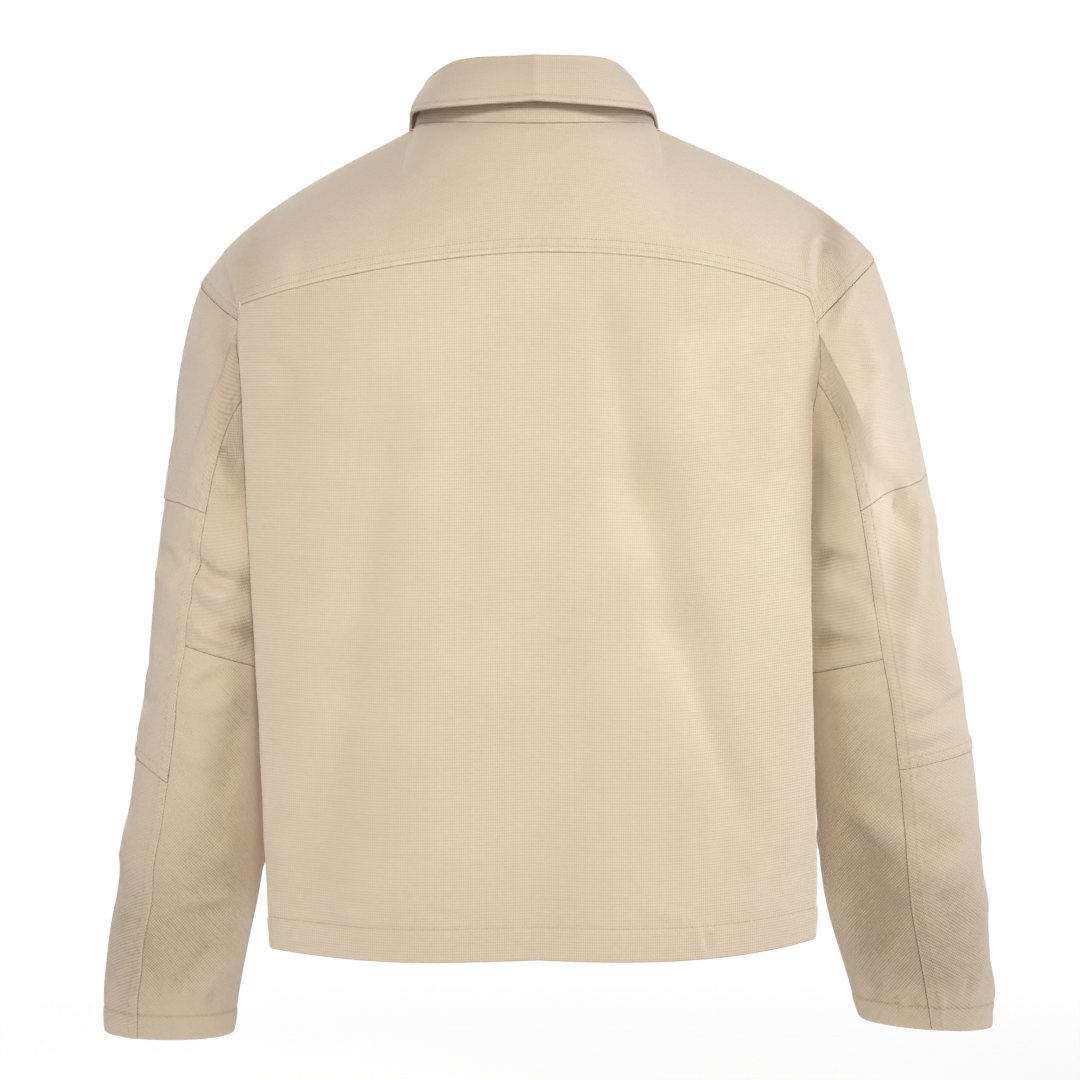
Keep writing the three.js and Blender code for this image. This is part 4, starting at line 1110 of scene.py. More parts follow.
def shell(panel, material, thickness, flanges=()):
    """The panel as a thin wall: outer face, coarser inner face and rims; allowances lie behind its edges."""
    outer = panel.surface()
    rows, columns = outer.shape[:2]
    wall = np.broadcast_to(thickness, (rows, columns))[::2, ::2, None]
    inner = outer[::2, ::2] - panel.normals[::2, ::2] * wall
    in_rows, in_columns = inner.shape[:2]
    outer_index = np.arange(rows * columns).reshape(rows, columns)
    inner_index = rows * columns + np.arange(in_rows * in_columns).reshape(in_rows, in_columns)
    flip = panel.out_sign < 0
    faces = quads_of(rows, columns, flip=flip).tolist()
    faces += quads_of(in_rows, in_columns, start=rows * columns, flip=not flip).tolist()
    faces += rim_faces(outer_index[0], inner_index[0], flip)
    faces += rim_faces(outer_index[-1], inner_index[-1], not flip)
    faces += rim_faces(outer_index[:, 0], inner_index[:, 0], not flip)
    faces += rim_faces(outer_index[:, -1], inner_index[:, -1], flip)
    points = [outer.reshape(-1, 3), inner.reshape(-1, 3)]
    flat = stack(panel.flat_x, panel.flat_y)
    flats = [flat.reshape(-1, 2), flat[::2, ::2].reshape(-1, 2)]
    painted_shading_values = [panel.tone.ravel(), np.zeros(in_rows * in_columns)]
    piece = mesh_from(
        panel.name + "_cloth",
        np.concatenate(points),
        faces,
        np.concatenate(flats),
        material,
        np.concatenate(painted_shading_values),
    )
    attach(piece, "root")
    lines = {
        "first": (inner[0], inner[1]),
        "last": (inner[-1], inner[-2]),
        "start": (inner[:, 0], inner[:, 1]),
        "end": (inner[:, -1], inner[:, -2]),
    }
    strips = []
    strip_faces = []
    count = 0
    for edge in flanges:
        line, before = lines[edge]
        outwards_along = unit(line - before)
        sink = {
            "first": panel.normals[0, ::2],
            "last": panel.normals[-1, ::2],
            "start": panel.normals[::2, 0],
            "end": panel.normals[::2, -1],
        }[edge]
        strip = line + outwards_along * ALLOWANCE - sink * 0.6
        size = len(strip)
        for k in range(size - 1):
            face = (count + k, count + k + 1, count + size + k + 1, count + size + k)
            turned = (edge in ("first", "end")) != flip
            strip_faces.append(face[::-1] if turned else face)
        strips += [line, strip]
        count += 2 * size
    if strips:
        around = np.concatenate(strips)
        allowance = mesh_from(panel.name + "_allowance", around, strip_faces, around[:, :2], material)
        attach(allowance, "root")
        allowances[piece.name] = allowance
    return piece


def line_at(panel, edge, distance):
    """The line on a panel's surface at a distance from one edge, with its normals."""
    surface = panel.surface()
    normals = panel.normals
    away = panel.from_edge(edge)
    if edge in ("start", "end"):
        surface = surface.transpose(1, 0, 2)
        normals = normals.transpose(1, 0, 2)
        away = away.T
    if edge in ("last", "end"):
        surface = surface[::-1]
        normals = normals[::-1]
        away = away[::-1]
    columns = np.arange(surface.shape[1])
    i = np.clip((away < distance).sum(axis=0) - 1, 0, away.shape[0] - 2)
    gap = away[i + 1, columns] - away[i, columns]
    share = ((distance - away[i, columns]) / np.maximum(gap, 1e-9))[:, None]
    line = mix(surface[i, columns], surface[i + 1, columns], share)
    facing = unit(mix(normals[i, columns], normals[i + 1, columns], share))
    return line, facing


STITCH_SECTIONS = ((0.0, 0.0, -0.28), (0.16, 0.8, 0.0), (0.5, 1.0, 0.16), (0.84, 0.8, 0.0), (1.0, 0.0, -0.28))
STITCH_SIDES = 5


class Thread:
    """Collects stitches and makes them one mesh."""

    def __init__(self, name):
        self.name = name
        self.points = []
        self.faces = []

    def stitch(self, start, end, normal, width):
        along = end - start
        side = np.cross(along, normal)
        side = side / max(np.linalg.norm(side), 1e-9)
        rings = []
        for share, size, rise in STITCH_SECTIONS:
            centre = start + along * share + normal * rise
            if size == 0:
                rings.append([len(self.points)])
                self.points.append(centre)
                continue
            ring = []
            for k in range(STITCH_SIDES):
                angle = 2 * math.pi * k / STITCH_SIDES
                offset = side * math.cos(angle) + normal * math.sin(angle) * 0.8
                ring.append(len(self.points))
                self.points.append(centre + offset * width * size / 2)
            rings.append(ring)
        for ring, after in zip(rings, rings[1:]):
            for k in range(STITCH_SIDES):
                following = (k + 1) % STITCH_SIDES
                if len(ring) == 1:
                    self.faces.append((ring[0], after[following], after[k]))
                elif len(after) == 1:
                    self.faces.append((ring[k], ring[following], after[0]))
                else:
                    self.faces.append((ring[k], ring[following], after[following], after[k]))

    def row(self, line, normals, seed=0.0, pitch=3.1, share=0.72, width=0.62, trim=(0.0, 0.0)):
        """Stitches of even pitch along a line that lies on the cloth."""
        steps = lengths(np.diff(line, axis=0))
        run = np.concatenate([[0], np.cumsum(steps)])
        count = int((run[-1] - trim[0] - trim[1]) / pitch)
        for n in range(count):
            at = trim[0] + n * pitch + 0.12 * math.sin(seed + 2.3 * n)
            ends = []
            for place in (at, at + pitch * share):
                ends.append(np.array([np.interp(place, run, line[:, k]) for k in range(3)]))
            middle = at + pitch * share / 2
            normal = np.array([np.interp(middle, run, normals[:, k]) for k in range(3)])
            normal = normal / np.linalg.norm(normal)
            self.stitch(ends[0], ends[1], normal, width)

    def make(self, material):
        flat = np.array(self.points)[:, :2]
        piece = mesh_from(self.name, np.array(self.points), self.faces, flat, material)
        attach(piece, "root")
        return piece


# Materials
def node(tree, kind, **values):
    made = tree.nodes.new(kind)
    for key, value in values.items():
        setattr(made, key, value)
    return made


def scaled_noise(tree, source, scale, size, detail=2.0, roughness=0.5):
    stretch = node(tree, "ShaderNodeVectorMath", operation="MULTIPLY")
    stretch.inputs[1].default_value = scale
    tree.links.new(source, stretch.inputs[0])
    noise = node(tree, "ShaderNodeTexNoise")
    noise.inputs["Scale"].default_value = size
    noise.inputs["Detail"].default_value = detail
    noise.inputs["Roughness"].default_value = roughness
    tree.links.new(stretch.outputs[0], noise.inputs["Vector"])
    return noise.outputs["Fac"]


def blend_of(tree, first, second, factor):
    join = node(tree, "ShaderNodeMath", operation="MULTIPLY_ADD")
    join.inputs[1].default_value = factor
    tree.links.new(second, join.inputs[0])
    tree.links.new(first, join.inputs[2])
    return join.outputs[0]


def linear(red, green, blue):
    """Linear colour of an sRGB colour from 0 to 255."""
    values = []
    for value in (red, green, blue):
        share = value / 255
        values.append(share / 12.92 if share <= 0.04045 else ((share + 0.055) / 1.055) ** 2.4)
    return tuple(values)


CANVAS_LIGHT = linear(232, 214, 190)
CANVAS_DARK = linear(212, 190, 163)
# the darkest end of the colour ramp, reached by painted shade in creases, seam edges and patches and partly
# by the weave's valleys
CANVAS_PAINTED_SHADE = linear(170, 149, 123)
RIB_PITCH = 0.0021
COLUMN_PITCH = 0.0017


def yarn_wave(tree, place, direction, pitch, wander):
    """Rows of yarn of even pitch that wander a little."""
    wave = node(tree, "ShaderNodeTexWave", wave_type="BANDS", bands_direction=direction)
    wave.inputs["Scale"].default_value = math.pi / (10 * pitch)
    wave.inputs["Distortion"].default_value = wander
    wave.inputs["Detail"].default_value = 3.0
    wave.inputs["Detail Scale"].default_value = 0.5
    tree.links.new(place, wave.inputs["Vector"])
    return wave.outputs["Fac"]


def canvas_material(name, colour, dark, sheen=0.6, slant=0.0, rib=1.0):
    """Cotton canvas: a plain weave with ribs across, uneven yarn, slubs, faint cloudy shade and soft fuzz."""
    material = bpy.data.materials.new(name)
    material.use_nodes = True
    tree = material.node_tree
    shader = tree.nodes["Principled BSDF"]
    shader.inputs["Roughness"].default_value = 0.88
    shader.inputs["Specular IOR Level"].default_value = 0.18
    shader.inputs["Sheen Weight"].default_value = sheen
    shader.inputs["Sheen Roughness"].default_value = 0.55
    shader.inputs["Sheen Tint"].default_value = (1.0, 0.94, 0.9, 1.0)
    uv = node(tree, "ShaderNodeUVMap", uv_map="cloth").outputs["UV"]
    turned = node(tree, "ShaderNodeVectorRotate", rotation_type="Z_AXIS")
    turned.inputs["Angle"].default_value = math.radians(slant)
    tree.links.new(uv, turned.inputs["Vector"])
    place = turned.outputs["Vector"]
    ribs = yarn_wave(tree, place, "Y", RIB_PITCH, 0.9)
    columns = yarn_wave(tree, place, "X", COLUMN_PITCH, 0.7)
    patches = scaled_noise(tree, place, (70.0, 90.0, 1.0), 1.0, 3.0, 0.6)
    yarn = scaled_noise(tree, place, (260.0, 900.0, 1.0), 1.0, 2.0, 0.6)
    slubs = scaled_noise(tree, place, (30.0, 420.0, 1.0), 1.0, 2.0, 0.6)
    cloud = scaled_noise(tree, place, (9.0, 12.0, 1.0), 1.0, 4.0, 0.55)
    patched = node(tree, "ShaderNodeMath", operation="MULTIPLY")
    tree.links.new(columns, patched.inputs[0])
    tree.links.new(patches, patched.inputs[1])
    weave = blend_of(tree, yarn, patched.outputs[0], 1.2)
    weave = blend_of(tree, weave, ribs, 0.75 * rib)
    weave = blend_of(tree, weave, slubs, 0.6)
    height = node(tree, "ShaderNodeMapRange")
    height.inputs["From Min"].default_value = 0.5
    height.inputs["From Max"].default_value = 2.2
    tree.links.new(weave, height.inputs["Value"])
    bump = node(tree, "ShaderNodeBump")
    bump.inputs["Strength"].default_value = 0.8
    bump.inputs["Distance"].default_value = 0.0005
    tree.links.new(height.outputs["Result"], bump.inputs["Height"])
    tree.links.new(bump.outputs["Normal"], shader.inputs["Normal"])
    # colour follows the weave's bump height: uneven yarn, slubs and cloudy patches are the cloth's own
    # colour, while the darker valleys between yarns are painted shade
    shade = blend_of(tree, height.outputs["Result"], cloud, 0.8)
    # the mesh's painted shade and painted highlight from creases, seams, hems, rims and patches darken or
    # lighten the colour
    tone = node(tree, "ShaderNodeAttribute", attribute_name="tone")
    shade = blend_of(tree, shade, tone.outputs["Fac"], 0.55)
    ramp = node(tree, "ShaderNodeMapRange")
    ramp.inputs["From Min"].default_value = -0.2
    ramp.inputs["From Max"].default_value = 1.6
    tree.links.new(shade, ramp.inputs["Value"])
    colours = node(tree, "ShaderNodeValToRGB")
    colours.color_ramp.elements[0].color = (*CANVAS_PAINTED_SHADE, 1.0)
    colours.color_ramp.elements[1].color = (*colour, 1.0)
    middle = colours.color_ramp.elements.new(0.3)
    middle.color = (*dark, 1.0)
    tree.links.new(ramp.outputs["Result"], colours.inputs["Fac"])
    tree.links.new(colours.outputs["Color"], shader.inputs["Base Color"])
    return material


canvas = canvas_material("canvas", CANVAS_LIGHT, CANVAS_DARK)
canvas_sleeve = canvas_material("canvas_sleeve", CANVAS_LIGHT, CANVAS_DARK, slant=38.0, rib=0.7)
canvas_under = canvas_material("canvas_under", CANVAS_LIGHT, CANVAS_DARK, slant=-35.0, rib=0.8)
thread_material = canvas_material("thread", linear(228, 209, 182), linear(200, 176, 146), sheen=0.1)


def horn_material():
    """Pale horn: cloudy streaks under a soft polish."""
    material = bpy.data.materials.new("horn")
    material.use_nodes = True
    tree = material.node_tree
    shader = tree.nodes["Principled BSDF"]
    shader.inputs["Roughness"].default_value = 0.32
    shader.inputs["Coat Weight"].default_value = 0.25
    uv = node(tree, "ShaderNodeUVMap", uv_map="cloth").outputs["UV"]
    streaks = scaled_noise(tree, uv, (60.0, 260.0, 1.0), 1.0, 4.0, 0.6)
    colours = node(tree, "ShaderNodeValToRGB")
    colours.color_ramp.elements[0].position = 0.3
    colours.color_ramp.elements[0].color = (*linear(168, 142, 108), 1.0)
    colours.color_ramp.elements[1].position = 0.7
    colours.color_ramp.elements[1].color = (*linear(214, 196, 164), 1.0)
    tree.links.new(streaks, colours.inputs["Fac"])
    tree.links.new(colours.outputs["Color"], shader.inputs["Base Color"])
    return material


button_material = horn_material()

# Panels of the body
hem_share = HEM_DEPTH / (UNDERARM_Z - HEM_BACK_Z)
body_side = spaced((-1, -0.84, 24), (-0.84, -0.76, 26), (-0.76, 0.76, 190), (0.76, 0.84, 26), (0.84, 1, 24))
back_rows = spaced((0, hem_share * 1.3, 22), (hem_share * 1.3, 1, 112), (1, 1.92, 84), (1.92, 2, 20))


def grid(point_at, rows, columns):
    across, down = np.meshgrid(columns, rows)
    return point_at(across, down)


back = Panel("back", grid(back_point, back_rows, body_side), -1, ("last", "start", "end"))
yoke_rows = crowded(0, 1, 84, 0.75)
yoke = Panel("yoke", grid(yoke_point, yoke_rows, body_side), -1, ("first", "last", "start", "end"))

fronts = {}
front_rows = spaced((0, hem_share * 1.3, 14), (hem_share * 1.3, 1, 66), (1, 2, 66))
for half in HALVES:
    columns = spaced((0, 0.08, 10), (0.08, 0.9, 76), (0.9, 1, 20))
    points = grid(lambda g, v, half=half: front_point(half, g, v), front_rows, columns)
    fronts[half.name] = Panel("front_" + half.name, points, -half.sign, ("last", "start"))

# Panels of the sleeves
sleeves = {}
for half in HALVES:
    seam = half.seam_angle
    front_seam = seam + UNDER_SLEEVE_TURN
    top_angles = crowded(front_seam, seam + 360, 100, 0.6)
    under_angles = crowded(seam, front_seam, 84, 0.6)

    def on_sleeve(angle, r, half=half):
        angle = np.where(angle >= 360, angle - 360, angle)
        s = sleeve_row(half, angle, r)
        return sleeve_point(half, angle + seam_swing(half, angle, s), s)

    pieces = (
        ("sleeve", top_angles, crowded(0, 1, 76, 0.6), ("first", "last", "start", "end")),
        ("elbow", top_angles, crowded(1, 3, 96, 0.6), ("first", "last", "start", "end")),
        (
            "forearm",
            top_angles,
            spaced((3, 3.12, 14), (3.12, 3.7, 62), (3.7, 4, 30)),
            ("first", "start", "end"),
        ),
        ("under_upper", under_angles, crowded(0, 2, 96, 0.6), ("first", "last", "start", "end")),
        (
            "under_lower",
            under_angles,
            spaced((2, 2.1, 12), (2.1, 3.7, 110), (3.7, 4, 30)),
            ("first", "start", "end"),
        ),
    )
    for kind, angles, rows, seams in pieces:
        name = kind + "_" + half.name
        sleeves[name] = Panel(name, grid(on_sleeve, rows, angles), -half.sign, seams)

# Panels of the collar
collar_turns = crowded(-COLLAR_END_TURN, COLLAR_END_TURN, 300, 0.3)
stand = Panel("collar_stand", grid(stand_point, np.linspace(0, 1, 25), collar_turns), -1, ())
fall_rows = spaced((0, 0.25, 8), (0.25, 0.55, 20), (0.55, 1, 36))
fall = Panel("collar", grid(fall_point, fall_rows, collar_turns), 1, ())

# Seams
YOKE_STITCHES = (4.6, 10.8)
SLEEVE_STITCHES = (1.8, 8.2)
lap(yoke, "first", YOKE_STITCHES, height=0.5, spread=15, seed=1.4)
tuck_under(back, "last", seed=2.2)
turned_edge(back, "first", HEM_DEPTH, seed=3.3)
lap(back, "start", (1.8,), height=0.5, spread=8, seed=4.1)
lap(back, "end", (1.8,), height=0.5, spread=8, seed=4.7)
lap(yoke, "last", (), height=0.3, spread=6, seed=5.5)
for edge, seed in (("start", 6.1), ("end", 6.7)):
    lap(yoke, edge, (2.0, 8.0), height=0.55, spread=12, seed=seed)
for half in HALVES:
    front = fronts[half.name]
    turned_edge(front, "first", HEM_DEPTH, seed=7.1 + half.sign)
    lap(front, "end", (2.0, 8.0), height=0.7, spread=12, seed=8.3 + half.sign)
    tuck_under(front, "last", seed=9.2 + half.sign)
    tuck_under(front, "start", seed=9.9 + half.sign)
    back_edge = "end"
    front_edge = "start"
    for kind in ("sleeve", "elbow", "forearm"):
        panel = sleeves[kind + "_" + half.name]
        lap(panel, back_edge, SLEEVE_STITCHES, height=0.5, spread=12, pucker=0.32, seed=10.1 + half.sign)
        lap(panel, front_edge, SLEEVE_STITCHES, height=0.5, spread=12, pucker=0.32, seed=11.1 + half.sign)
    for kind in ("under_upper", "under_lower"):
        panel = sleeves[kind + "_" + half.name]
        tuck_under(panel, "start", pucker=0.35, seed=12.1 + half.sign)
        tuck_under(panel, "end", pucker=0.35, seed=13.1 + half.sign)
    tuck_under(sleeves["sleeve_" + half.name], "first", seed=14.1 + half.sign)
    tuck_under(sleeves["under_upper_" + half.name], "first", seed=15.1 + half.sign)
    lap(sleeves["sleeve_" + half.name], "last", (), height=0.5, spread=7, seed=16.1 + half.sign)
    tuck_under(sleeves["elbow_" + half.name], "first", pucker=0.5, seed=17.1 + half.sign)
    lap(sleeves["elbow_" + half.name], "last", (1.8, 8.2), height=0.7, spread=12, seed=18.1 + half.sign)
    tuck_under(sleeves["forearm_" + half.name], "first", seed=19.1 + half.sign)
    lap(sleeves["under_upper_" + half.name], "last", (1.8,), height=0.6, spread=8, seed=20.1 + half.sign)
    tuck_under(sleeves["under_lower_" + half.name], "first", seed=21.1 + half.sign)
    for kind in ("forearm", "under_lower"):
        turned_edge(sleeves[kind + "_" + half.name], "last", CUFF_DEPTH, height=0.8, seed=22.1 + half.sign)
turned_edge(fall, "last", 5.0, height=0.4, seed=23.1, pucker=0.15)

# Creases, and faint unevenness everywhere
add_creases(back, BACK_CREASES, 1.4)
add_creases(yoke, YOKE_CREASES, 1.3)
add_creases(fronts["left"], LEFT_FRONT_CREASES, 1.5)
add_creases(fronts["right"], RIGHT_FRONT_CREASES, 1.5)
for name, panel in sleeves.items():
    add_creases(panel, LEFT_SLEEVE_CREASES if name.endswith("left") else RIGHT_SLEEVE_CREASES, 1.9)
    # patches of painted shade, and one of painted light, on the sleeves
    for seen, x, z, reach_x, reach_z, tone in SLEEVE_PAINTED_SHADING[name.split("_")[-1]]:
        shade_patch(panel, seen, (x, z), (reach_x, reach_z), tone)
# painted highlight along the back's folded sides, stronger on the right
folded_edge(back, 1, 0.6, 0.25)
folded_edge(back, -1, 1.3, 0.4)
# painted shade at both ends of the yoke by the armholes
shade_patch(yoke, 1, (-232, -95), (16, 60), -1.6)
shade_patch(yoke, 1, (226, -95), (14, 60), -1.0)
for number, panel in enumerate([back, yoke, stand, fall, *fronts.values(), *sleeves.values()]):
    drape(panel, 31.7 + 1.9 * number, height=0.25 if panel in (yoke, stand, fall) else 0.55)

# Shells
thickness = np.where(back.from_edge("first") < HEM_DEPTH, TURNED_CLOTH, CLOTH)
back_shell = shell(back, canvas, thickness, ("last", "start", "end"))
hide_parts("back")
yoke_shell = shell(yoke, canvas, CLOTH, ("last", "start", "end"))
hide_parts("yoke")
front_shells = {}
for half in HALVES:
    panel = fronts[half.name]
    thickness = np.where(panel.from_edge("first") < HEM_DEPTH, TURNED_CLOTH, CLOTH)
    front_shells[half.name] = shell(panel, canvas, thickness, ("last", "start"))
    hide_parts("front_" + half.name)
sleeve_shells = {}
for name, panel in sleeves.items():
    cuffed = name.startswith("forearm") or name.startswith("under_lower")
    thickness = np.where(panel.from_edge("last") < CUFF_DEPTH, TURNED_CLOTH, CLOTH) if cuffed else CLOTH
    under = name.startswith("under")
    flanges = ("start", "end") if under else ()
    if not name.startswith("forearm") and not name.startswith("under_lower"):
        flanges = (*flanges, "last")
    if name.startswith("sleeve") or name.startswith("under_upper"):
        flanges = (*flanges, "first")
    sleeve_shells[name] = shell(panel, canvas_under if under else canvas_sleeve, thickness, flanges)
    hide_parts(name)
stand_shell = shell(stand, canvas, CLOTH)
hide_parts("collar_stand")
fall_shell = shell(fall, canvas, CLOTH)
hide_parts("collar")

# Stitching
seams_thread = {}


def thread_for(name):
    if name not in seams_thread:
        seams_thread[name] = Thread("stitches_" + name)
    return seams_thread[name]


def stitch_edge(panel, edge, distances, trim=(2.0, 2.0), thread=None, pitch=3.1):
    for distance in distances:
        line, facing = line_at(panel, edge, distance)
        thread_for(thread or panel.name).row(line, facing, seed=distance, trim=trim, pitch=pitch)


stitch_edge(yoke, "first", YOKE_STITCHES)
stitch_edge(yoke, "start", (2.0, 8.0))
stitch_edge(yoke, "end", (2.0, 8.0))
stitch_edge(back, "first", (HEM_DEPTH,))
stitch_edge(fall, "last", (5.0,))
stitch_edge(fall, "start", (5.0,))
stitch_edge(fall, "end", (5.0,))
for half in HALVES:
    front = fronts[half.name]
    stitch_edge(front, "first", (HEM_DEPTH,))
    stitch_edge(front, "end", (2.0, 8.0))
    for kind in ("sleeve", "elbow", "forearm"):
        panel = sleeves[kind + "_" + half.name]
        stitch_edge(panel, "start", SLEEVE_STITCHES, thread="sleeve_" + half.name)
        stitch_edge(panel, "end", SLEEVE_STITCHES, thread="sleeve_" + half.name)
    stitch_edge(sleeves["elbow_" + half.name], "last", (1.8, 8.2), thread="sleeve_" + half.name)
    stitch_edge(sleeves["forearm_" + half.name], "last", (CUFF_DEPTH,), thread="cuff_" + half.name)
    stitch_edge(sleeves["under_lower_" + half.name], "last", (CUFF_DEPTH,), thread="cuff_" + half.name)
    stitch_edge(sleeves["under_upper_" + half.name], "last", (1.8,), thread="sleeve_" + half.name)


# Buttons: a dished rim, four holes with thread through them, and the end of the buttonhole beside them
def button_piece(name, seat, facing, side, upward):
    turn = np.arange(BUTTON_SIDES) * 2 * math.pi / BUTTON_SIDES
    inner = [(radius, 2.2 + 0.1 * (radius / 5.5) ** 2) for radius in np.arange(5.3, 0, -0.2)]
    rings = np.array([*BUTTON_BACK, *BUTTON_RIM, *inner, (0.03, 2.2)])
    x = rings[:, :1] * np.cos(turn)
    y = rings[:, :1] * np.sin(turn)
    height = np.broadcast_to(rings[:, 1:], x.shape).copy()
    for across in (-HOLE_PLACE, HOLE_PLACE):
        for up in (-HOLE_PLACE, HOLE_PLACE):
            reach = np.hypot(x - across, y - up)
            hole = HOLE_DEPTH * eased((HOLE_RADIUS + 0.15 - reach) / 0.3)
            height[len(BUTTON_BACK):] -= hole[len(BUTTON_BACK):]
    height = np.maximum(height, 0)
    points = seat + (BUTTON_CLEARANCE + height)[..., None] * facing
    points = points + x[..., None] * side + y[..., None] * upward
    faces = []
    for ring in range(len(rings) - 1):
        for k in range(BUTTON_SIDES):
            after = (k + 1) % BUTTON_SIDES
            here = ring * BUTTON_SIDES
            there = here + BUTTON_SIDES
            faces.append((here + k, there + k, there + after, here + after))
    faces.append(list(range(BUTTON_SIDES)))
    faces.append(list(range((len(rings) - 1) * BUTTON_SIDES, len(rings) * BUTTON_SIDES))[::-1])
    flat = stack(x, y).reshape(-1, 2)
    piece = mesh_from(name + "_turned", points.reshape(-1, 3), faces, flat, button_material)
    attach(piece, "root")
    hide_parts(name)


button_thread = thread_for("buttons")
for number, (height, share) in enumerate(BUTTON_PLACES, start=1):
    level = (height - HEM_FRONT_Z) / (UNDERARM_Z - HEM_FRONT_Z)
    v = level if level <= 1 else 1 + (height - UNDERARM_Z) / (NECK_FRONT[2] - UNDERARM_Z)
    seat = front_point(LEFT, share, v)
    above = front_point(LEFT, share, v + 0.02)
    facing = unit(np.cross(above - seat, (-1.0, 0.0, 0.0)))
    upward = unit(above - seat)
    side = np.cross(upward, facing)
    button_piece("button_" + str(number), seat, facing, side, upward)
    for across in (-HOLE_PLACE, HOLE_PLACE):
        for strand in (-0.4, 0.0, 0.4):
            place = seat + side * (across + strand) + facing * (BUTTON_CLEARANCE + 2.25)
            reach = upward * (HOLE_PLACE + 0.35)
            button_thread.stitch(place - reach, place + reach, facing, 0.5)
    slit_end = front_point(LEFT, share - 0.075, v)
    along_slit = unit(slit_end - seat)
    for k in range(18):
        for rise in (-1, 1):
            middle = seat + along_slit * (BUTTONHOLE / 2 + 4.5 * (k - 17) / 17 + 1.5)
            start = middle + upward * rise * 0.2 + facing * 0.3
            button_thread.stitch(start, start + upward * rise * 1.9, facing, 0.42)
threads = {name: thread.make(thread_material) for name, thread in seams_thread.items()}

# The area of each piece of cloth laid flat, with its seam allowances, and the pieces of stitching on it:
# worked out, then not used
SEAM_ALLOWANCE = 10.0


def declare_cut(panel, piece, stitching=(), allowance=SEAM_ALLOWANCE):
    across = lengths(np.diff(panel.base, axis=1)).sum(axis=1)
    down = lengths(np.diff(panel.base, axis=0)).sum(axis=0)
    first = panel.base[1:, 1:] - panel.base[:-1, :-1]
    second = panel.base[1:, :-1] - panel.base[:-1, 1:]
    area = lengths(np.cross(first, second)).sum() / 2
    area += allowance * 2 * (across.mean() + down.mean())
    pieces = [threads[name] for name in stitching]
    if piece.name in allowances:
        pieces.append(allowances[piece.name])


declare_cut(yoke, yoke_shell, ("yoke",))
declare_cut(back, back_shell, ("back",))
declare_cut(stand, stand_shell, allowance=2.0)
declare_cut(fall, fall_shell, ("collar",), allowance=6.0)
declare_cut(fronts["left"], front_shells["left"], ("front_left", "buttons"))
declare_cut(fronts["right"], front_shells["right"], ("front_right",))
for name, panel in sleeves.items():
    stitching = (name.replace("forearm", "cuff"),) if name.startswith(("sleeve", "forearm")) else ()
    declare_cut(panel, sleeve_shells[name], stitching)

# Camera at the photo's viewpoint: level, behind the jacket
PHOTO_SIZE = 1080
FOCAL_PIXELS = 2340
SENSOR = 36.0
camera_data = bpy.data.cameras.new("camera")
camera_data.sensor_width = SENSOR
camera_data.lens = FOCAL_PIXELS / PHOTO_SIZE * SENSOR
camera = bpy.data.objects.new("camera", camera_data)
bpy.context.scene.collection.objects.link(camera)
camera.location = (0.0, 1.87, -0.32)
camera.rotation_euler = (math.radians(90), 0.0, math.radians(180))
bpy.context.scene.camera = camera

# Pale floor that fades into the pale surroundings, and soft studio light
FLOOR_Z = -1.25
FLOOR_RADIUS = 3.4


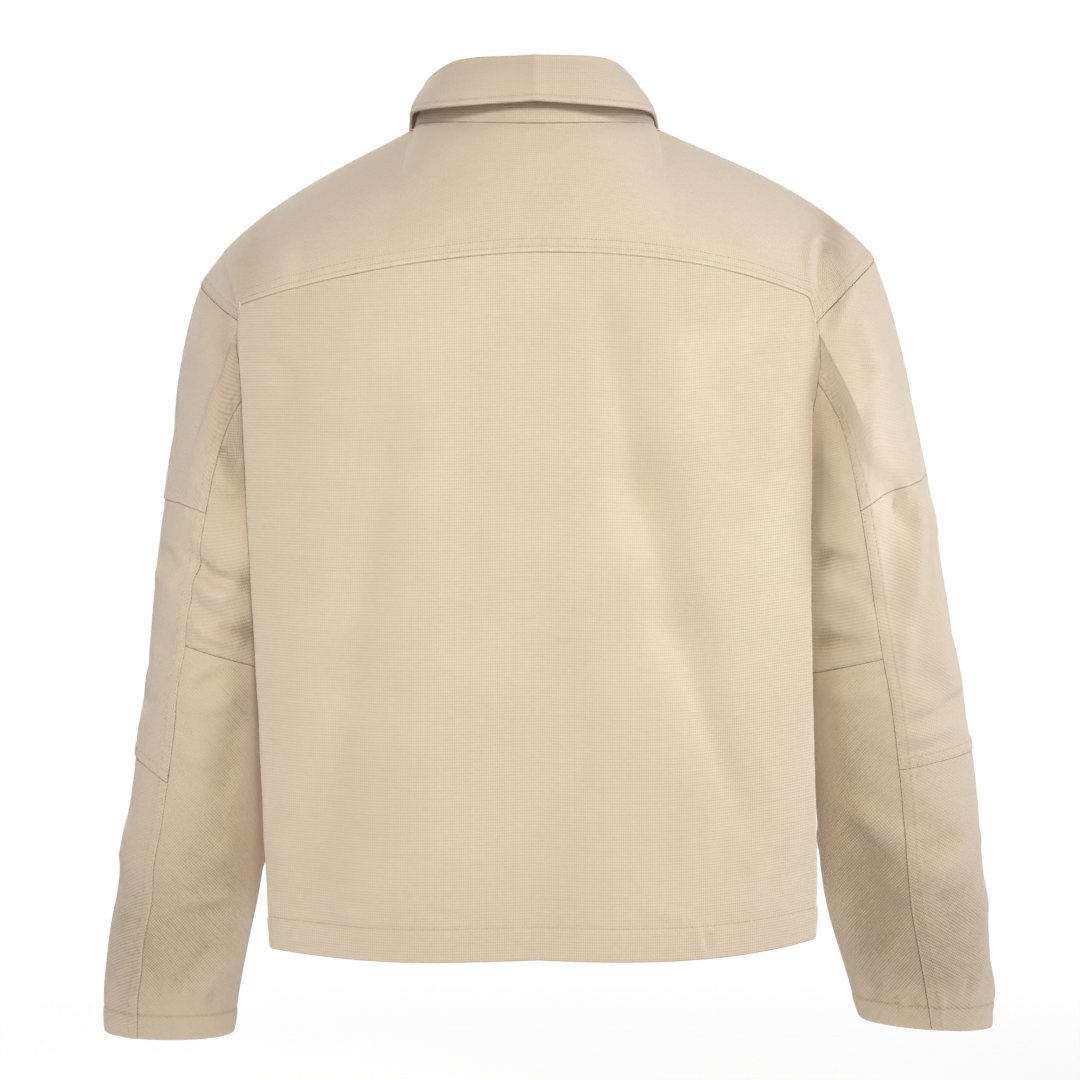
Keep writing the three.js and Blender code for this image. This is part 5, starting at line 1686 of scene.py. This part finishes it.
def pale_floor():
    sides = 96
    ring = []
    for k in range(sides):
        turn = 2 * math.pi * k / sides
        ring.append((FLOOR_RADIUS * math.cos(turn), FLOOR_RADIUS * math.sin(turn), FLOOR_Z))
    mesh = bpy.data.meshes.new("floor")
    mesh.from_pydata(ring, [], [list(range(sides))])
    material = bpy.data.materials.new("floor")
    material.use_nodes = True
    tree = material.node_tree
    shader = tree.nodes["Principled BSDF"]
    shader.inputs["Base Color"].default_value = (0.9, 0.9, 0.9, 1.0)
    shader.inputs["Roughness"].default_value = 0.9
    shader.inputs["Emission Color"].default_value = (1.0, 1.0, 1.0, 1.0)
    shader.inputs["Emission Strength"].default_value = 0.35
    geometry = node(tree, "ShaderNodeNewGeometry")
    distance = node(tree, "ShaderNodeVectorMath", operation="LENGTH")
    tree.links.new(geometry.outputs["Position"], distance.inputs[0])
    fade = node(tree, "ShaderNodeMapRange")
    fade.inputs["From Min"].default_value = FLOOR_RADIUS * 0.45
    fade.inputs["From Max"].default_value = FLOOR_RADIUS * 0.98
    fade.inputs["To Min"].default_value = 1.0
    fade.inputs["To Max"].default_value = 0.0
    tree.links.new(distance.outputs["Value"], fade.inputs["Value"])
    tree.links.new(fade.outputs["Result"], shader.inputs["Alpha"])
    mesh.materials.append(material)
    floor = bpy.data.objects.new("floor", mesh)
    bpy.context.scene.collection.objects.link(floor)


pale_floor()


def area_light(name, place, target, size, power, colour, spread):
    data = bpy.data.lights.new(name, "AREA")
    data.size = size
    data.spread = math.radians(spread)
    data.energy = power
    data.color = colour
    light = bpy.data.objects.new(name, data)
    bpy.context.scene.collection.objects.link(light)
    light.location = place
    light.rotation_euler = (Vector(target) - Vector(place)).to_track_quat("-Z", "Y").to_euler()


area_light("key", (-0.2, 2.4, 0.8), (0.03, 0.1, -0.34), 0.6, 2.1, (1.0, 0.985, 0.965), 38)
area_light("side", (-2.2, 0.3, 0.3), (-0.25, 0, -0.25), 0.8, 2.0, (0.86, 0.92, 1.0), 46)
area_light("fill", (1.7, 1.7, 0.3), (0.12, 0.05, -0.25), 1.2, 1.2, (0.97, 0.98, 1.0), 70)
area_light("front", (0.8, -2.4, 1.0), (0, 0, -0.3), 1.8, 34, (1.0, 0.98, 0.96), 180)

world = bpy.data.worlds.new("studio")
bpy.context.scene.world = world
world.use_nodes = True
tree = world.node_tree
tree.nodes.clear()
output = node(tree, "ShaderNodeOutputWorld")
seen_white = node(tree, "ShaderNodeBackground")
seen_white.inputs["Color"].default_value = (1.0, 1.0, 1.0, 1.0)
seen_white.inputs["Strength"].default_value = 1.0
ambient = node(tree, "ShaderNodeBackground")
ambient.inputs["Color"].default_value = (0.98, 0.985, 1.0, 1.0)
ambient.inputs["Strength"].default_value = 0.33
rays = node(tree, "ShaderNodeLightPath")
choose = node(tree, "ShaderNodeMixShader")
tree.links.new(rays.outputs["Is Camera Ray"], choose.inputs["Fac"])
tree.links.new(ambient.outputs[0], choose.inputs[1])
tree.links.new(seen_white.outputs[0], choose.inputs[2])
tree.links.new(choose.outputs[0], output.inputs["Surface"])
bpy.context.scene.view_settings.view_transform = "Standard"
